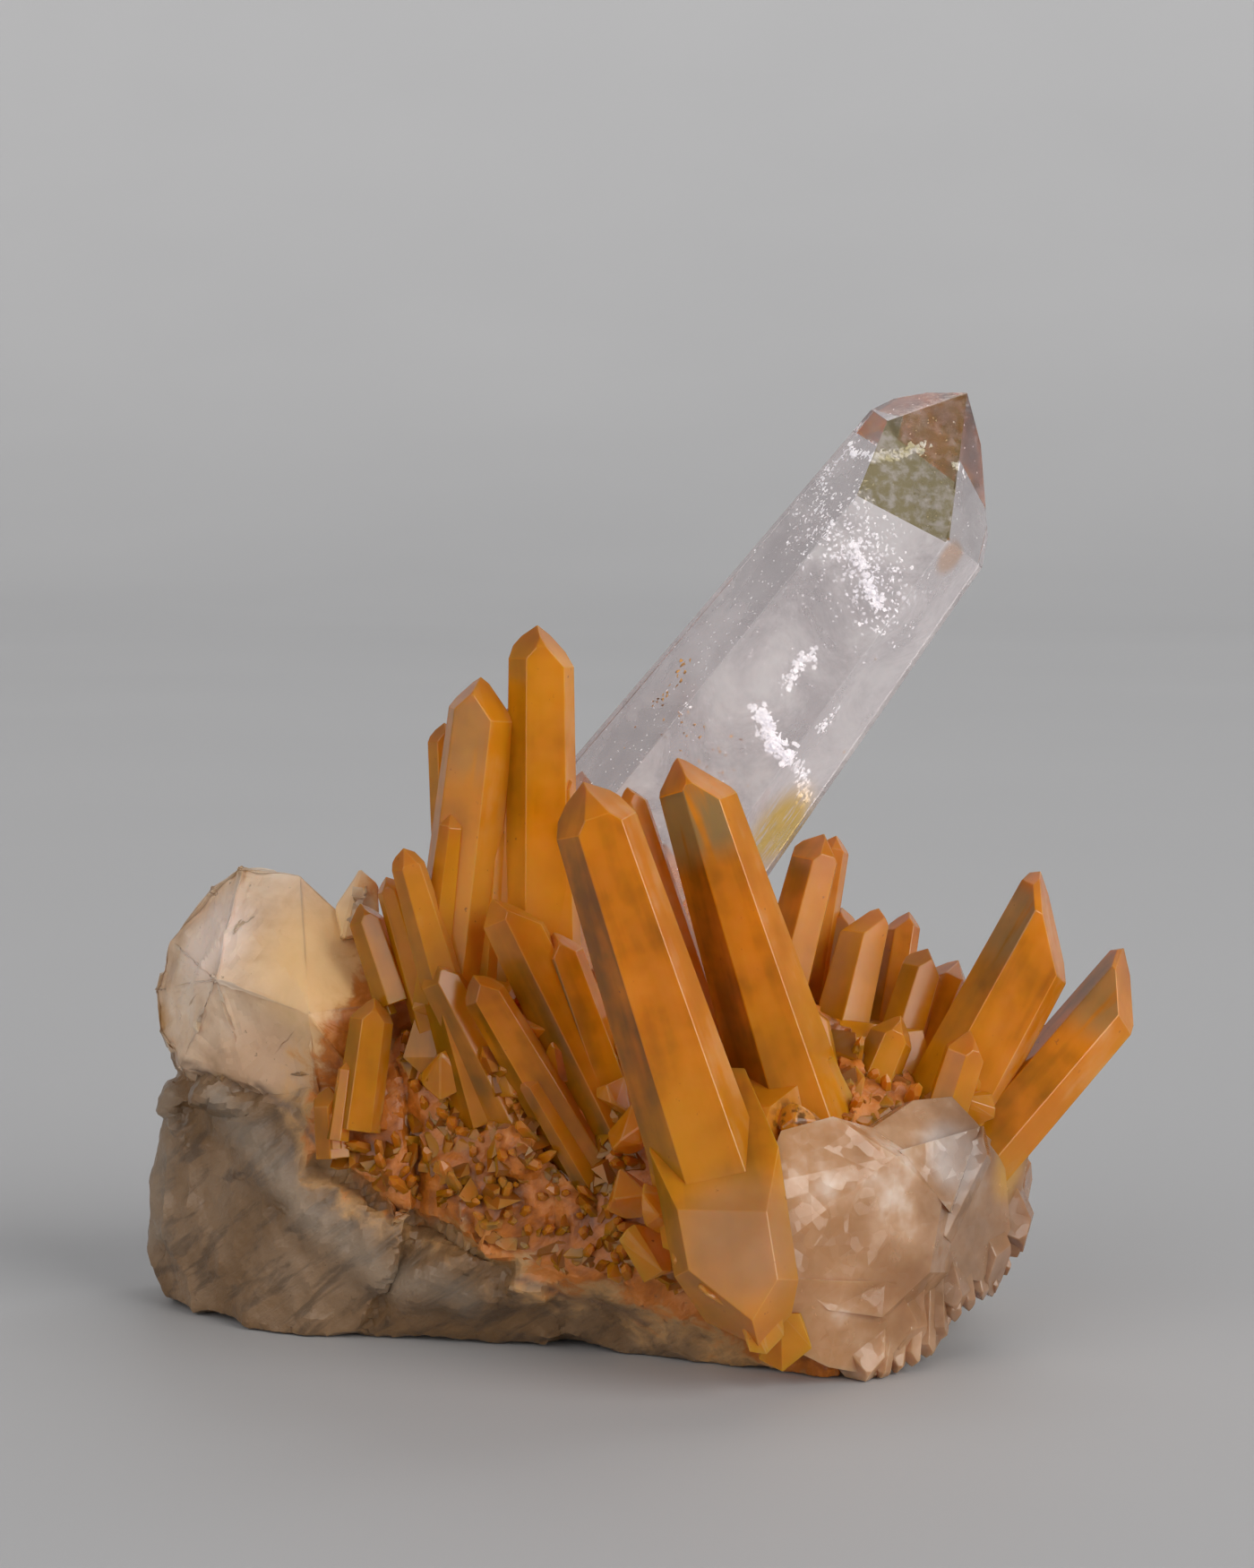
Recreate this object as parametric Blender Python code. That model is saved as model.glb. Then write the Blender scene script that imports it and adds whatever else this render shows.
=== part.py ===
"""A golden healer quartz cluster: amber and clear quartz points on a base of milky quartz.

Lengths are metres, +Z is up and the cluster stands on z = 0. Every crystal is placed by the
pixel of the photograph where its tip and its root show, or would show if nothing stood in front
of them, and by its depth behind the plane of the photograph that is in focus. Widths and depths
are real sizes in millimetres.
"""

import itertools
import math
import random
from typing import NamedTuple

import bmesh
import bpy
import numpy
from mathutils import Vector
from mathutils.bvhtree import BVHTree

MM = 0.001

# The photograph's viewpoint, which turns a pixel and a depth into a place
PHOTO_CENTRE_PX = (700.0, 875.0)
FOCAL_PX = 4132.0
FOCUS_DISTANCE = 0.500
LOOK_DOWN = math.radians(5.0)
EYE_HEIGHT = 0.1193
MIDDLE = Vector((0.0003, 0.0022, 0.0))  # the cluster's middle, from below the focus

# Quartz: the tip faces lean this far from the crystal's length, and there are six of each face
TIP_FACE_LEAN = math.radians(51.8)
SIDES = 6

FIT_GAP = 0.3 * MM  # left between one solid and the next
BIG = 0.5  # larger than the whole cluster
TOUCH = 1e-7  # places closer than this are one place
PARALLEL = 1e-5  # three planes with a smaller determinant share no corner
FLAT = math.radians(0.2)  # faces that meet at less than this are one face


class Crystal(NamedTuple):
    """One quartz point. Pixels are the photograph's; other lengths are millimetres."""

    tip_px: tuple
    tip_depth: float
    root_px: tuple
    root_depth: float
    width: float  # corner to corner, at the shoulder below the tip
    turn: float = 0.0  # degrees from a side that faces the viewer, towards the right
    spread: float = 1.5  # degrees by which each side leans outwards, down to the root
    peak: float = 0.0  # how far the tip lies right of the length's middle, in widths
    flatness: float = 1.0  # depth over width
    seed: int = 0  # draws the small differences between the six sides and tip faces
    sides: tuple = ()  # how far out each side lies, where that isn't drawn: 1 is a regular point
    rises: tuple = ()  # how far above the tip every second tip face points, where that isn't drawn


CLEAR_POINT = Crystal(
    (1080, 438), 19, (608, 1095), 21, 27.4, -4, 2.6, -0.125, 0.95, 3,
    (1.0, 1.0, 1.02, 1.0, 1.0, 1.0), (0.10, 0.16, 0.12),
)

FRONT_POINTS = (
    Crystal((651, 872), -26, (822, 1400), -26, 11.6, 6, 2.0, 0.02, 0.9, 21, (1, 1.02, 1, 1, 1, 0.98)),
    Crystal((756, 845), -10, (918, 1330), -14, 10.6, 4, 2.6, -0.10, 1.0, 22, (1.14, 1, 1, 1, 1, 1)),
    Crystal((700, 878), -4, (800, 1190), -10, 4.4, 20, 1.0, 0.0, 1.0, 23),
    Crystal((903, 1120), -8, (935, 1300), -12, 5.4, 20, 1.4, 0.0, 1.0, 24),
    Crystal((847, 1503), -37, (778, 1180), -24, 18.0, -6, 1.4, 0.08, 0.6, 25),
)
FRONT_ROOT = (
    (716, 1250, -24), (860, 1235, -24), (930, 1180, -14), (978, 1274, -12), (915, 1395, -22),
    (740, 1392, -30), (800, 1160, -6), (760, 1300, -6), (935, 1340, -6), (800, 1420, -36),
)

LEFT_POINTS = (
    Crystal((600, 697), -2, (604, 1150), -4, 9.2, 10, 0.8, -0.04, 0.9, 11),
    Crystal((574, 785), 0, (552, 1110), -2, 7.0, -10, 1.4, 0.0, 0.9, 12),
    Crystal((537, 755), -3, (500, 1110), -3, 9.4, -14, 1.0, -0.06, 0.9, 13),
    Crystal((496, 806), 6, (512, 1080), 4, 5.0, 5, 1.0, 0.0, 1.0, 14),
    Crystal((450, 946), -8, (540, 1250), -6, 4.8, 14, 2.4, 0.0, 0.9, 15),
    Crystal((431, 978), -2, (480, 1150), -4, 4.0, -8, 1.0, 0.0, 1.0, 16),
    Crystal((550, 1003), -10, (706, 1300), -11, 8.2, 24, 1.0, -0.10, 0.8, 17),
    Crystal((528, 1088), -13, (660, 1310), -12, 6.4, 10, 1.6, 0.0, 0.8, 18),
    Crystal((480, 1070), -8, (600, 1300), -8, 6.4, 24, 1.2, 0.0, 0.9, 19),
    Crystal((618, 1040), -10, (690, 1240), -11, 6.0, 10, 1.4, 0.0, 0.9, 20),
)
LEFT_ROOT = (
    (470, 1110, 4), (480, 1080, -4), (620, 1050, -2), (690, 1180, -13), (700, 1290, -12),
    (560, 1280, -9), (450, 1180, -6), (610, 1080, 12), (480, 1140, 10), (640, 1300, -4),
)

RIGHT_POINTS = (
    Crystal((1162, 972), 0, (1024, 1300), -6, 12.8, 8, 0.6, -0.34, 0.85, 41),
    Crystal((1255, 1058), 6, (1078, 1310), -6, 10.2, -6, 0.3, -0.36, 0.9, 42),
    Crystal((1084, 1150), -10, (1036, 1300), -10, 6.0, 30, 1.0, 0.0, 1.0, 44),
)
RIGHT_ROOT = (
    (1030, 1220, -8), (1090, 1200, -10), (1120, 1250, -4), (1100, 1300, -6), (1020, 1310, -8),
    (1040, 1230, 4), (1100, 1290, 8), (1030, 1300, 4),
)

BACK_RIGHT_POINTS = (
    Crystal((920, 930), 8, (862, 1140), 4, 7.6, 26, 1.4, 0.05, 1.0, 31),
    Crystal((934, 932), 14, (900, 1120), 10, 5.0, 10, 0.8, 0.05, 1.0, 32),
    Crystal((981, 1013), 8, (920, 1220), 0, 7.2, 30, 2.4, 0.16, 1.0, 33),
    Crystal((940, 1012), 14, (930, 1160), 10, 4.6, -6, 1.0, 0.0, 1.0, 34),
    Crystal((1015, 1017), 16, (984, 1180), 10, 4.8, 4, 1.0, 0.1, 1.0, 35),
    Crystal((1036, 1058), 6, (986, 1220), 0, 6.4, 20, 1.2, 0.0, 1.0, 36),
    Crystal((1070, 1071), 12, (998, 1220), 4, 7.4, 12, 1.0, 0.1, 1.0, 37),
    Crystal((1006, 1133), -4, (952, 1260), -8, 6.4, 8, 1.2, 0.0, 1.0, 38),
)
BACK_RIGHT_ROOT = (
    (880, 1130, 0), (940, 1160, -6), (1030, 1150, -2), (1046, 1210, -4), (960, 1250, -8),
    (870, 1150, 14), (1030, 1190, 18), (940, 1130, 18),
)

REAR_POINTS = (
    Crystal((650, 905), 42, (640, 1180), 28, 10.0, 20, 1.2, 0.0, 1.0, 51),
    Crystal((570, 930), 40, (600, 1170), 26, 8.0, 5, 1.2, 0.0, 1.0, 52),
    Crystal((742, 940), 42, (700, 1180), 28, 9.0, 25, 1.2, 0.0, 1.0, 53),
    Crystal((860, 1010), 40, (780, 1210), 28, 8.0, 14, 1.2, 0.0, 1.0, 54),
    Crystal((500, 1020), 38, (560, 1200), 26, 6.0, 24, 1.2, 0.0, 1.0, 55),
    Crystal((700, 1090), 42, (700, 1230), 30, 7.0, 24, 1.2, 0.0, 1.0, 56),
)
REAR_ROOT = (
    (560, 1120, 20), (800, 1130, 22), (540, 1190, 36), (820, 1190, 36), (600, 1110, 32),
    (760, 1120, 34), (560, 1250, 20), (820, 1250, 22),
)

PALE_POINTS = (
    Crystal((962, 1552), -24, (958, 1300), -18, 10.0, 12, 0.4, 0.1, 0.8, 61),
    Crystal((1004, 1526), -20, (975, 1290), -16, 8.0, -14, 0.8, -0.1, 0.8, 62),
    Crystal((1040, 1514), -14, (1000, 1290), -12, 8.0, 20, 0.6, 0.0, 0.9, 63),
    Crystal((1066, 1474), -14, (1010, 1290), -12, 8.0, 8, 0.6, 0.1, 0.9, 64),
    Crystal((1108, 1448), -6, (1040, 1280), -6, 9.0, -10, 0.8, -0.1, 0.9, 65),
    Crystal((1142, 1398), -2, (1080, 1260), -2, 8.0, 16, 0.8, 0.0, 0.9, 66),
    Crystal((1146, 1350), 6, (1070, 1250), 4, 9.0, 6, 0.8, 0.0, 0.9, 67),
    Crystal((1098, 1256), -13, (1030, 1370), -17, 8.4, 12, 1.6, 0.1, 0.8, 68),
)
PALE_ROOT = (
    (916, 1267, -23), (987, 1287, -24), (1060, 1290, -16), (1149, 1287, -4), (1130, 1380, -2),
    (1080, 1440, -8), (956, 1520, -26), (912, 1417, -26), (960, 1300, -8), (900, 1480, -14),
    (930, 1440, -26), (1010, 1330, -22), (1080, 1250, 0),
)

# The milky quartz, as broken blocks: each corner is the pixel where it shows and its depth
LEFT_BLOCK = (
    (268, 966, 14), (335, 976, 8), (383, 1018, 8), (444, 1090, 6), (470, 1180, 2), (250, 1035, 4),
    (235, 990, 16), (190, 1050, 22), (170, 1100, 24), (175, 1150, 22), (240, 1230, 4),
    (430, 1260, 0), (300, 1010, 34), (220, 1100, 38), (420, 1130, 36), (230, 1280, 34),
    (430, 1300, 34),
)
LOWER_LEFT_BLOCK = (
    (201, 1190, 20), (175, 1280, 18), (165, 1350, 18), (160, 1400, 20), (181, 1450, 18),
    (275, 1480, 4), (343, 1494, 0), (356, 1272, -4), (463, 1353, -10), (330, 1180, -2),
    (440, 1180, -4), (400, 1490, -2), (190, 1300, 36), (220, 1440, 36), (420, 1450, 38),
    (430, 1200, 36),
)
SLOPE = (
    (440, 1150, -2), (560, 1140, -8), (620, 1180, -12), (640, 1420, -16), (519, 1400, -13),
    (404, 1495, 0), (485, 1500, -3), (613, 1505, -6), (600, 1150, 20), (420, 1200, 25),
    (420, 1450, 25), (640, 1450, 25),
)
MIDDLE_BLOCK = (
    (580, 1120, -6), (720, 1130, -12), (790, 1200, -18), (800, 1420, -24), (640, 1425, -17),
    (740, 1445, -20), (620, 1500, -4), (748, 1530, -8), (815, 1545, -14), (600, 1120, 28),
    (800, 1120, 28), (620, 1450, 30), (800, 1440, 30),
)
RIGHT_BLOCK = (
    (760, 1120, -6), (900, 1120, -4), (1010, 1190, -6), (1060, 1240, -8), (1100, 1300, -6),
    (900, 1260, -20), (1000, 1320, -18), (880, 1480, -24), (760, 1500, -16), (1050, 1440, -12),
    (760, 1110, 30), (900, 1090, 32), (1020, 1180, 32), (1100, 1280, 26), (1080, 1420, 26),
    (800, 1440, 34),
)
FRONT_BLOCK = (
    (760, 1440, -20), (860, 1455, -24), (915, 1420, -24), (900, 1480, -26), (940, 1555, -22),
    (816, 1545, -16), (800, 1400, -10), (930, 1400, -8), (960, 1500, -8), (860, 1520, -4),
)
REAR_BLOCK = (
    (300, 1120, 36), (480, 1080, 36), (700, 1100, 37), (860, 1110, 35), (960, 1190, 36),
    (300, 1400, 40), (960, 1400, 38), (700, 1040, 20), (500, 1040, 20), (480, 1070, 8),
    (700, 1100, 0), (900, 1200, 0), (330, 1450, 16), (900, 1460, 8), (420, 1438, 34), (860, 1440, 31),
)
REAR_BULGE = (
    (420, 1180, 38), (600, 1160, 39), (760, 1220, 42), (880, 1300, 40), (700, 1385, 41),
    (480, 1350, 40), (400, 1290, 38), (600, 1300, 28), (800, 1250, 28),
)
REAR_LEFT_BULGE = (
    (250, 1250, 38), (420, 1220, 39), (470, 1330, 42), (360, 1405, 41), (240, 1380, 39),
    (330, 1300, 26),
)
REAR_RIGHT_BULGE = (
    (860, 1120, 33), (980, 1180, 38), (1050, 1270, 36), (1010, 1390, 38), (900, 1400, 41),
    (840, 1300, 41), (900, 1200, 20), (1000, 1350, 20),
)
SMALL_WHITE_BLOCK = (
    (370, 1010, 6), (402, 966, 8), (424, 985, 8), (428, 1040, 4), (380, 1050, 2), (400, 990, 2),
    (390, 1000, 14), (420, 1060, 14), (372, 1060, 12),
)
MATRIX_BLOCKS = (
    LEFT_BLOCK, LOWER_LEFT_BLOCK, SLOPE, MIDDLE_BLOCK, RIGHT_BLOCK, FRONT_BLOCK, REAR_BLOCK,
    REAR_BULGE, REAR_LEFT_BULGE, REAR_RIGHT_BULGE, SMALL_WHITE_BLOCK,
)
MATRIX_POINTS = (
    Crystal((417, 1114), -2, (412, 1260), -6, 4.8, 10, 0.8, 0.0, 1.0, 71),
    Crystal((372, 1210), -5, (372, 1300), -5, 4.0, 30, 0.8, 0.0, 1.0, 72),
    Crystal((402, 1008), -1, (440, 1120), -2, 4.4, 16, 1.0, 0.0, 1.0, 73),
)

# Lumps and pits of the broken quartz, each with how many, and how wide they are in millimetres
LUMPS = (56, 4.5, 13.0)
PITS = (30, 3.0, 8.0)
LUMP_SEED = 7
LUMP_CORNERS = 11
LUMP_FLATNESS = 0.55
FOOT_HEIGHT = 4.0  # millimetres above the floor, below which the surface is left as it broke

# Every solid with what it is made of. Each one leaves room for those before it.
CLEAR = (0.80, 0.78, 0.78)
AMBER = (0.62, 0.30, 0.07)
MILK = (0.74, 0.66, 0.58)
BLUSH = (0.80, 0.68, 0.62)
GROUPS = (
    ("clear_point", (CLEAR_POINT,), (), CLEAR, 0.05),
    ("front_golden_points", FRONT_POINTS, (FRONT_ROOT,), AMBER, 0.30),
    ("left_golden_points", LEFT_POINTS, (LEFT_ROOT,), AMBER, 0.30),
    ("right_golden_points", RIGHT_POINTS, (RIGHT_ROOT,), AMBER, 0.30),
    ("back_right_golden_points", BACK_RIGHT_POINTS, (BACK_RIGHT_ROOT,), AMBER, 0.30),
    ("rear_golden_points", REAR_POINTS, (REAR_ROOT,), AMBER, 0.30),
    ("pale_foot_crystals", PALE_POINTS, (PALE_ROOT,), BLUSH, 0.30),
    ("milky_matrix", MATRIX_POINTS, MATRIX_BLOCKS, MILK, 0.50),
)
STANDING = ("pale_foot_crystals", "milky_matrix")  # these reach the floor, and end flat on it


def viewer():
    """The eye's place, and the ways ahead and up in the photograph."""
    eye = Vector((0.0, -FOCUS_DISTANCE * math.cos(LOOK_DOWN), EYE_HEIGHT)) - MIDDLE
    ahead = Vector((0.0, math.cos(LOOK_DOWN), -math.sin(LOOK_DOWN)))
    return eye, ahead, Vector((0.0, math.sin(LOOK_DOWN), math.cos(LOOK_DOWN)))


def seen(pixel, depth):
    """The place that shows at a pixel, at a depth in millimetres behind the focus."""
    eye, ahead, up = viewer()
    across = (pixel[0] - PHOTO_CENTRE_PX[0]) / FOCAL_PX
    rise = (PHOTO_CENTRE_PX[1] - pixel[1]) / FOCAL_PX
    ray = ahead + across * Vector((1.0, 0.0, 0.0)) + rise * up
    return eye + ray * ((depth * MM - MIDDLE.y - eye.y) / ray.y)


def material(name, colour, roughness):
    """A plain quartz surface."""
    made = bpy.data.materials.new(name)
    made.use_nodes = True
    shader = made.node_tree.nodes["Principled BSDF"]
    shader.inputs["Base Color"].default_value = (*colour, 1.0)
    shader.inputs["Roughness"].default_value = roughness
    shader.inputs["Metallic"].default_value = 0.0
    return made


def planes_to_object(name, planes, finish):
    """The solid that lies within planes, each a point and an outward normal."""
    normals = numpy.array([outwards for _, outwards in planes])
    reaches = numpy.array([point.dot(outwards) for point, outwards in planes])
    trios = numpy.array(list(itertools.combinations(range(len(planes)), 3)))
    trios = trios[abs(numpy.linalg.det(normals[trios])) > PARALLEL]
    corners = numpy.linalg.solve(normals[trios], reaches[trios][..., None])[..., 0]
    inside = (corners @ normals.T <= reaches + TOUCH).all(axis=1)
    shape = bmesh.new()
    for corner in corners[inside]:
        shape.verts.new(corner)
    bmesh.ops.remove_doubles(shape, verts=shape.verts, dist=10 * TOUCH)
    bmesh.ops.convex_hull(shape, input=shape.verts)
    bmesh.ops.dissolve_limit(shape, angle_limit=FLAT, verts=shape.verts, edges=shape.edges)
    bmesh.ops.recalc_face_normals(shape, faces=shape.faces)
    mesh = bpy.data.meshes.new(name)
    shape.to_mesh(mesh)
    shape.free()
    made = bpy.data.objects.new(name, mesh)
    made.data.materials.append(finish)
    bpy.context.scene.collection.objects.link(made)
    return made


def crystal(name, form, finish, grow=0.0):
    """A six-sided quartz point with six tip faces, its planes moved out by grow."""
    draw = random.Random(form.seed)
    root = seen(form.root_px, form.root_depth)
    tip = seen(form.tip_px, form.tip_depth)
    width = form.width * MM
    right = Vector((1.0, 0.0, 0.0))
    rough_length = (tip - root).normalized()
    across = (right - rough_length * right.dot(rough_length)).normalized()
    length = (tip - across * form.peak * width - root).normalized()
    across = (right - length * right.dot(length)).normalized()
    front = across.cross(length)
    if front.y > 0:
        front = -front
    shoulder = root + length * ((tip - root).dot(length) - width)
    lean = math.radians(form.spread)
    planes = [(root - length * grow, -length)]
    for side in range(SIDES):
        angle = math.radians(form.turn) + side * math.tau / SIDES
        outwards = front * math.cos(angle) + across * math.sin(angle)
        squeeze = math.hypot(math.cos(angle) * form.flatness, math.sin(angle))
        share = form.sides[side] if form.sides else draw.uniform(0.93, 1.07)
        far = width / 2 * math.cos(math.pi / SIDES) * squeeze * share
        prism = outwards * math.cos(lean) + length * math.sin(lean)
        planes.append((shoulder + outwards * far + prism * grow, prism))
        rise = 0.0 if side % 2 else draw.uniform(0.04, 0.26)
        if form.rises and not side % 2:
            rise = form.rises[side // 2]
        face = length * math.cos(TIP_FACE_LEAN) + outwards * math.sin(TIP_FACE_LEAN)
        planes.append((tip + length * rise * width + face * grow, face))
    return planes_to_object(name, planes, finish)


def hull_to_object(name, shape, finish, grow):
    """The solid that spans a bmesh's points, its planes moved out by grow."""
    made = bmesh.ops.convex_hull(shape, input=shape.verts)
    inner = [part for part in made["geom_interior"] if isinstance(part, bmesh.types.BMVert)]
    bmesh.ops.delete(shape, geom=inner, context="VERTS")
    bmesh.ops.recalc_face_normals(shape, faces=shape.faces)
    shape.normal_update()
    planes = [(face.verts[0].co + face.normal * grow, face.normal.copy()) for face in shape.faces]
    shape.free()
    return planes_to_object(name, planes, finish)


def chunk(name, corners, finish, grow=0.0):
    """The broken block that spans some corners."""
    shape = bmesh.new()
    for pixel_x, pixel_y, depth in corners:
        shape.verts.new(seen((pixel_x, pixel_y), depth))
    return hull_to_object(name, shape, finish, grow)


def lumps(made, count, least, most, draw, finish):
    """Small broken lumps at places all over a solid."""
    tree = BVHTree.FromObject(made, bpy.context.evaluated_depsgraph_get())
    middle = sum((Vector(corner) for corner in made.bound_box), Vector()) / len(made.bound_box)
    pieces = []
    while len(pieces) < count:
        way = Vector((draw.gauss(0, 1), draw.gauss(0, 1), draw.gauss(0, 0.7))).normalized()
        place, normal, _, _ = tree.ray_cast(middle + way * BIG / 2, -way)
        if place is None or place.z < FOOT_HEIGHT * MM:
            continue
        radius = draw.uniform(least, most) / 2 * MM
        shape = bmesh.new()
        for _ in range(LUMP_CORNERS):
            corner = Vector([draw.gauss(0, 1) for _ in range(3)]).normalized() * radius
            corner -= normal * corner.dot(normal) * (1 - LUMP_FLATNESS)
            shape.verts.new(place + corner)
        pieces.append(hull_to_object("lump", shape, finish, 0.0))
    return pieces


def keep_largest(shape):
    """Deletes the splinters that a cut leaves loose, and keeps the body with the most surface."""
    left = set(shape.faces)
    bodies = []
    while left:
        body = [left.pop()]
        for face in body:
            edges = [edge for edge in face.edges if len(edge.link_faces) == 2]
            beside = {other for edge in edges for other in edge.link_faces} & left
            left -= beside
            body.extend(beside)
        bodies.append(body)
    bodies.sort(key=lambda body: sum(face.calc_area() for face in body))
    for body in bodies[:-1]:
        bmesh.ops.delete(shape, geom=body, context="FACES")


def combine(made, others, operation):
    """Joins other solids to one, or takes them away from it."""
    for other in others:
        step = made.modifiers.new(other.name, "BOOLEAN")
        step.operation = operation
        step.object = other
    shape = bmesh.new()
    shape.from_object(made, bpy.context.evaluated_depsgraph_get())
    made.modifiers.clear()
    bmesh.ops.remove_doubles(shape, verts=shape.verts, dist=2e-5)
    bmesh.ops.dissolve_degenerate(shape, edges=shape.edges, dist=1e-6)
    keep_largest(shape)
    shape.to_mesh(made.data)
    shape.free()
    for other in others:
        bpy.data.objects.remove(other)


def spray(name, forms, roots, finish, grow=0.0):
    """The solids of one group of points and of what they grow from."""
    points = [crystal(name, form, finish, grow) for form in forms]
    return points + [chunk(name, corners, finish, grow) for corners in roots]


def main():
    for old in list(bpy.data.objects):
        bpy.data.objects.remove(old)
    taken = []
    for name, forms, roots, colour, roughness in GROUPS:
        finish = material(name, colour, roughness)
        made, *rest = spray(name, forms, roots, finish)
        if rest:
            combine(made, rest, "UNION")
        if name == "milky_matrix":
            draw = random.Random(LUMP_SEED)
            combine(made, lumps(made, *LUMPS, draw, finish), "UNION")
            combine(made, lumps(made, *PITS, draw, finish), "DIFFERENCE")
        room = [piece for group in taken for piece in spray("room", *group, finish, FIT_GAP)]
        if room:
            combine(made, room, "DIFFERENCE")
        made.name = name
        taken.append((forms, roots))
        if name in STANDING:
            bpy.ops.mesh.primitive_cube_add(size=BIG, location=(0.0, 0.0, -BIG / 2))
            combine(made, [bpy.context.object], "DIFFERENCE")


main()
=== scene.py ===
"""The golden healer quartz cluster: its amber and clear points, its milky base, and the studio.

Lengths are metres, +Z is up and the cluster stands on z = 0. The points are placed the way the
solids are: by the pixel of the photograph (taken as 1400 by 1750) where the tip and the root show, by
the depth in millimetres behind the plane in focus, and by a width in millimetres.
"""

import itertools
import math
import random
from contextlib import contextmanager
from typing import NamedTuple

import bpy
import numpy
from mathutils import Matrix, Vector
from mathutils.bvhtree import BVHTree


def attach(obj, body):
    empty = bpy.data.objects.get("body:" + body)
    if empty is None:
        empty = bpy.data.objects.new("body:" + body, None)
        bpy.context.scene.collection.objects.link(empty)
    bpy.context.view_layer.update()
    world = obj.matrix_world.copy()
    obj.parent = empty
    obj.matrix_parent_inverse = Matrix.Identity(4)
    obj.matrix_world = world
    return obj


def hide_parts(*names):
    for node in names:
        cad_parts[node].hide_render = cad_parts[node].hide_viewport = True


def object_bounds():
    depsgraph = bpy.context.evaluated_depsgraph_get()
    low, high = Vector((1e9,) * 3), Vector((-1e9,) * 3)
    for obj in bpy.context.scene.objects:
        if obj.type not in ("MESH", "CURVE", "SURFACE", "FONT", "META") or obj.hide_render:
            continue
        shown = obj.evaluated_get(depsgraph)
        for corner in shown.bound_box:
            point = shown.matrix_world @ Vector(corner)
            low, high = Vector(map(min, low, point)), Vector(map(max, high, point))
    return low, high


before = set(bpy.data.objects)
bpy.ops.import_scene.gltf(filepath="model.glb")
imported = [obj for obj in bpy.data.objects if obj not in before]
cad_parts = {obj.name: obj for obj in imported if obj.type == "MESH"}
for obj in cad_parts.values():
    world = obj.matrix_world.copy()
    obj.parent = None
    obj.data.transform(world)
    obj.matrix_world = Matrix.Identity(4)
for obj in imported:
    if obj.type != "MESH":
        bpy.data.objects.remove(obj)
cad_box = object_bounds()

MM = 0.001
RIGHT = Vector((1.0, 0.0, 0.0))
UP = Vector((0.0, 0.0, 1.0))

# The photograph's viewpoint
PHOTO_SIZE = (1400, 1750)
PHOTO_CENTRE_PX = (700.0, 875.0)
LENS_MM = 85.0
SENSOR_MM = 36.0
FOCAL_PX = LENS_MM / SENSOR_MM * PHOTO_SIZE[1]
FOCUS_DISTANCE = 0.500
LOOK_DOWN = math.radians(5.0)
EYE_HEIGHT = 0.1193
MIDDLE = Vector((0.0003, 0.0022, 0.0))

# Quartz
TIP_FACE_LEAN = math.radians(51.8)
SIDES = 6
QUARTZ_IOR = 1.544
EDGE_WEAR = 0.10 * MM
WORN_EDGE_SHARE = 0.016  # a face with less area than this part of its outline squared is a worn edge
EDGE_HIGHLIGHT_TONE = 0.22  # painted highlight: how much lighter the face of a worn edge is
WELD = 0.02 * MM  # corners closer than this are one
TOUCH = 1e-7  # a place nearer to a plane than this lies on it
SMOOTHING_ROUNDS = 14  # before the hollows of the stone are measured
STONE_VOXEL = 0.75 * MM
CRACK_WIDTHS = (1.1, 1.6, 1.2, 1.2)  # in millimetres, for each path of CRACKS_PX
CRACK_DEPTHS = (2.0, 2.2, 1.6, 1.2)
CLEAR_WALL = 0.35 * MM  # between the clear point's surface and what lies inside it

# Crumbs on the slope
CRUMB_COUNT = 420
CRUMB_TRIES = 7000
CRUMB_SHAPES = 5  # of small points, and as many of broken grains
GRAIN_SHARE = 0.72  # of the crumbs are grains, and the others are small points

# The suns: the place each shines from, its width in degrees, its power and its colour
SUNS = (
    ((1.0, -0.75, 0.55), 50, 2.35, (1.0, 0.97, 0.93)),
    ((-0.9, -1.0, 0.7), 60, 0.95, (1.0, 0.97, 0.94)),
    ((0.4, 1.0, 0.9), 50, 0.9, (1.0, 0.98, 0.96)),
)
LIT_PLACE = Vector((0.0, 0.0, 0.05))


class Crystal(NamedTuple):
    """One quartz point. Pixels are the photograph's; other lengths are millimetres."""

    tip_px: tuple
    tip_depth: float
    root_px: tuple
    root_depth: float
    width: float
    turn: float = 0.0
    spread: float = 1.5
    peak: float = 0.0
    flatness: float = 1.0
    seed: int = 0
    sides: tuple = ()
    rises: tuple = ()


CLEAR_POINT = Crystal(
    (1080, 438), 19, (608, 1095), 21, 27.4, -4, 2.6, -0.125, 0.95, 3,
    (1.0, 1.0, 1.02, 1.0, 1.0, 1.0), (0.10, 0.16, 0.12),
)
FRONT_POINTS = (
    Crystal((651, 872), -26, (822, 1400), -26, 11.6, 6, 2.0, 0.02, 0.9, 21, (1, 1.02, 1, 1, 1, 0.98)),
    Crystal((756, 845), -10, (918, 1330), -14, 10.6, 4, 2.6, -0.10, 1.0, 22, (1.14, 1, 1, 1, 1, 1)),
    Crystal((700, 878), -4, (800, 1190), -10, 4.4, 20, 1.0, 0.0, 1.0, 23),
    Crystal((903, 1120), -8, (935, 1300), -12, 5.4, 20, 1.4, 0.0, 1.0, 24),
    Crystal((847, 1503), -37, (778, 1180), -24, 18.0, -6, 1.4, 0.08, 0.6, 25),
)
FRONT_ROOT = (
    (716, 1250, -24), (860, 1235, -24), (930, 1180, -14), (978, 1274, -12), (915, 1395, -22),
    (740, 1392, -30), (800, 1160, -6), (760, 1300, -6), (935, 1340, -6), (800, 1420, -36),
)
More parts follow.
